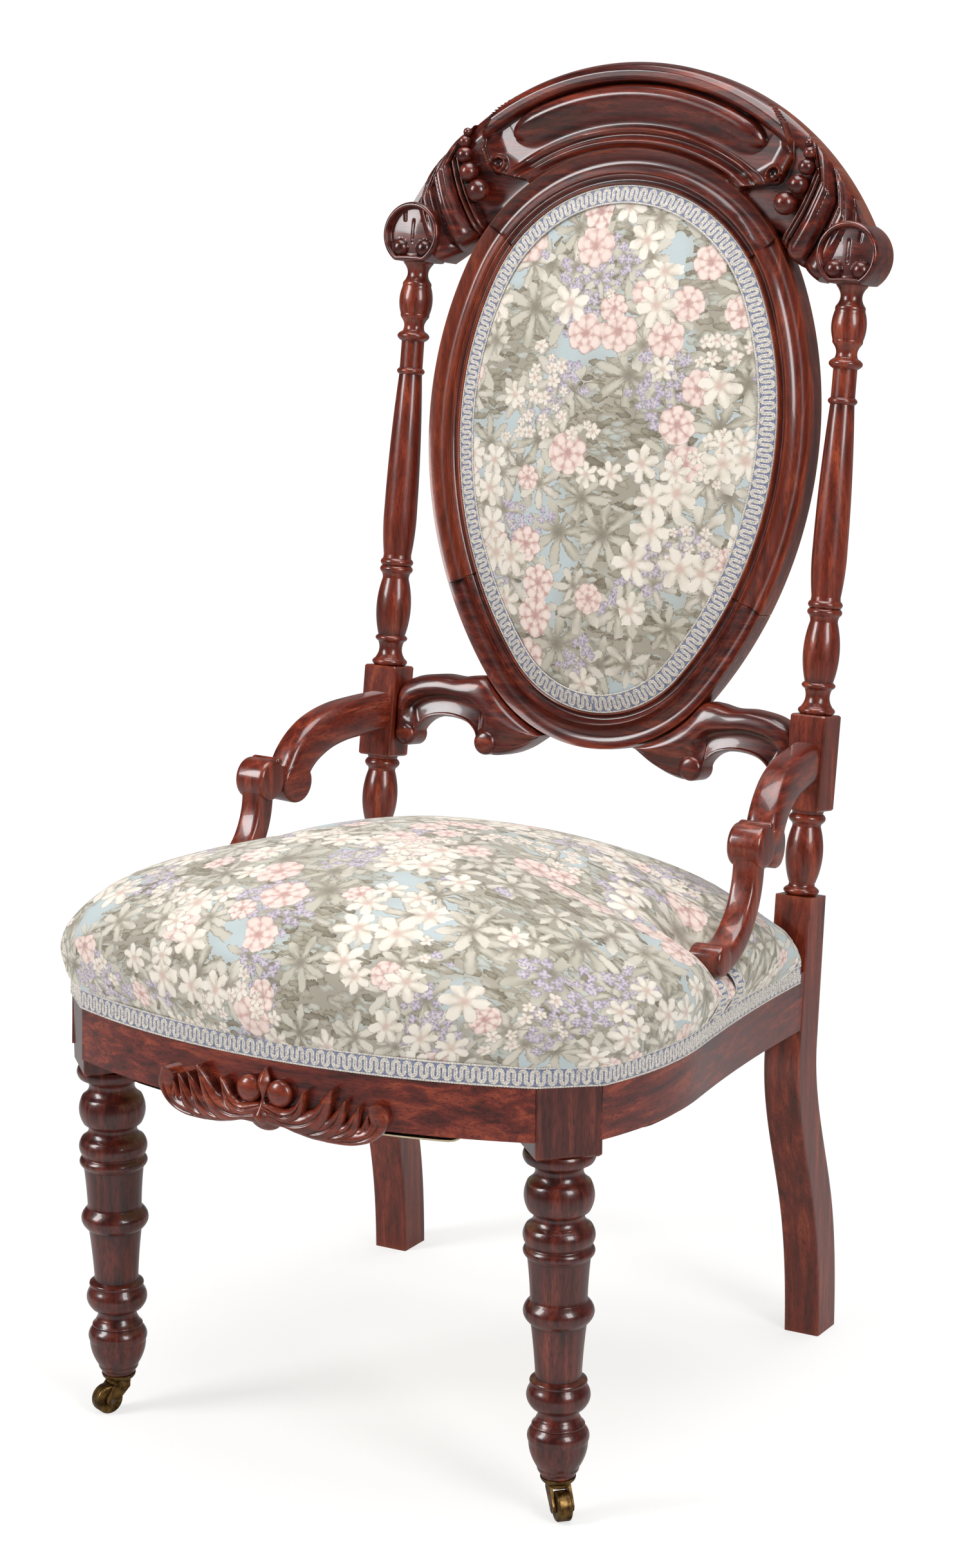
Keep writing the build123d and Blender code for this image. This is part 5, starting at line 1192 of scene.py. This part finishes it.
# Casters. Cast brass, one under each front leg: a dished plate, a horn that swivels on a riveted steel
# stem, and a wheel on a steel axle, all dulled by a brown film in cloudy patches.


def worn_metal(name, bright, dull, roughness, grain):
    """Cast metal handled for years: a bright rubbed tone and a brown film in cloudy patches."""
    material, tree, shader = new_material(name)
    place = add_node(tree, "TexCoord").outputs["Object"]
    clouds = add_node(tree, "TexNoise", {"Vector": place, "Scale": 1 / grain, "Detail": 4.0, "Roughness": 0.6})
    film = ramp_node(tree, clouds, (0.35, dull), (0.65, bright))
    matt = add_node(tree, "MapRange", {"Value": clouds, "To Min": roughness + 0.2, "To Max": roughness - 0.1})
    pits = add_node(tree, "TexNoise", {"Vector": place, "Scale": 1 / 0.0012, "Detail": 2.0})
    relief = add_node(tree, "Bump", {"Height": pits, "Strength": 0.15, "Distance": 0.0003})
    add_node(tree, shader, {"Base Color": film, "Roughness": matt, "Normal": relief, "Metallic": 1.0})
    return material


brass = worn_metal("cast_brass", "#8f6f42", "#43301c", 0.38, 0.006)
steel = worn_metal("dull_steel", "#8a857d", "#4c4640", 0.42, 0.005)
for word in ("left", "right"):
    for part in ("plate", "horn", "wheel"):
        finish_node(f"caster_{part}_{word}", brass)
    for part in ("stem", "axle"):
        finish_node(f"caster_{part}_{word}", steel)

# Studio. A white paper sweep of floor and wall whose own glow grows away from the chair, so that it stays
# white there, three soft boxes to the left, right and above, and a camera where the photograph was taken.
sweep_turn = np.linspace(0, math.pi / 2, 24)
sweep_profile = np.concatenate([[[-9000.0, 0]], np.stack([
    5000 + 2500 * np.sin(sweep_turn), 2500 - 2500 * np.cos(sweep_turn)], -1), [[7500.0, 9000]]])
sweep_x = np.linspace(-9000, 9000, 3)[None, :]
sweep = np.stack([sweep_x + 0 * sweep_profile[:, :1], sweep_profile[:, :1] + 0 * sweep_x,
                  sweep_profile[:, 1:] + 0 * sweep_x], -1)
paper, paper_tree, _ = new_material("white_paper")
paper_tree.nodes.clear()
rays = add_node(paper_tree, "LightPath")
seen = number_node(paper_tree, "MAXIMUM", rays.outputs["Is Camera Ray"], rays.outputs["Is Glossy Ray"])
seen = number_node(paper_tree, "MAXIMUM", seen, rays.outputs["Is Transmission Ray"])
paper_place = add_node(paper_tree, "TexCoord").outputs["Object"]
away = vector_node(paper_tree, "LENGTH", paper_place)
lit = add_node(paper_tree, "MapRange", {"Value": away, "From Min": 0.5, "From Max": 2.4,
                                        "To Min": 0.62, "To Max": 0.98})
seen = number_node(paper_tree, "MULTIPLY", seen, lit)
fibres = add_node(paper_tree, "TexNoise", {"Vector": paper_place, "Scale": 1 / 0.002})
tone = ramp_node(paper_tree, fibres, (0.0, "#f1f1f0"), (1.0, "#f7f7f6"))
matt = add_node(paper_tree, "BsdfDiffuse", {"Color": tone})
flagged = add_node(paper_tree, "MapRange", {"Value": rays.outputs["Is Glossy Ray"],
                                            "To Min": 1.07, "To Max": 0.22})
glow = add_node(paper_tree, "Emission", {"Color": colour("#ffffff"), "Strength": flagged})
both = add_node(paper_tree, "MixShader", {0: seen, 1: matt, 2: glow})
add_node(paper_tree, "OutputMaterial", {"Surface": both})
floor_mesh = bpy.data.meshes.new("paper_sweep")
index = np.arange(sweep.shape[0] * 3).reshape(-1, 3)
floor_mesh.from_pydata((sweep.reshape(-1, 3) * 0.001).tolist(), [], grid_quads(index)[:, ::-1].tolist())
floor_mesh.shade_smooth()
floor_mesh.materials.append(paper)
new_object("paper_sweep", floor_mesh)

aim = Vector((0.0, 0.0, 0.5))
for name, spot, size, power in (("left_softbox", (-2.1, -2.3, 2.3), (1.2, 1.8), 92),
                                ("right_softbox", (2.7, -1.2, 2.0), (1.0, 1.6), 58),
                                ("top_softbox", (0.2, 0.2, 3.2), (2.0, 2.0), 74)):
    lamp = bpy.data.lights.new(name, "AREA")
    lamp.shape = "RECTANGLE"
    lamp.size, lamp.size_y = size
    lamp.energy = power
    holder = new_object(name, lamp)
    holder.location = spot
    holder.rotation_euler = (aim - Vector(spot)).to_track_quat("-Z", "Y").to_euler()
world = bpy.data.worlds.new("studio_air")
bpy.context.scene.world = world
world.use_nodes = True
air_rays = add_node(world.node_tree, "LightPath").outputs
air = add_node(world.node_tree, "MapRange", {"Value": air_rays["Is Glossy Ray"], "To Min": 0.24, "To Max": 0.06})
air = number_node(world.node_tree, "MAXIMUM", air, air_rays["Is Camera Ray"])
add_node(world.node_tree, world.node_tree.nodes["Background"], {"Color": colour("#ffffff"), "Strength": air})

lens = bpy.data.cameras.new("camera")
lens.lens, lens.sensor_width = 84.0, 36.0
camera = new_object("camera", lens)
camera.location = (1.4038, -2.4001, 1.1386)
camera.rotation_euler = Vector((-0.4875, 0.8427, -0.2284)).to_track_quat("-Z", "Y").to_euler()
bpy.context.scene.camera = camera
bpy.context.scene.view_settings.view_transform = "Standard"
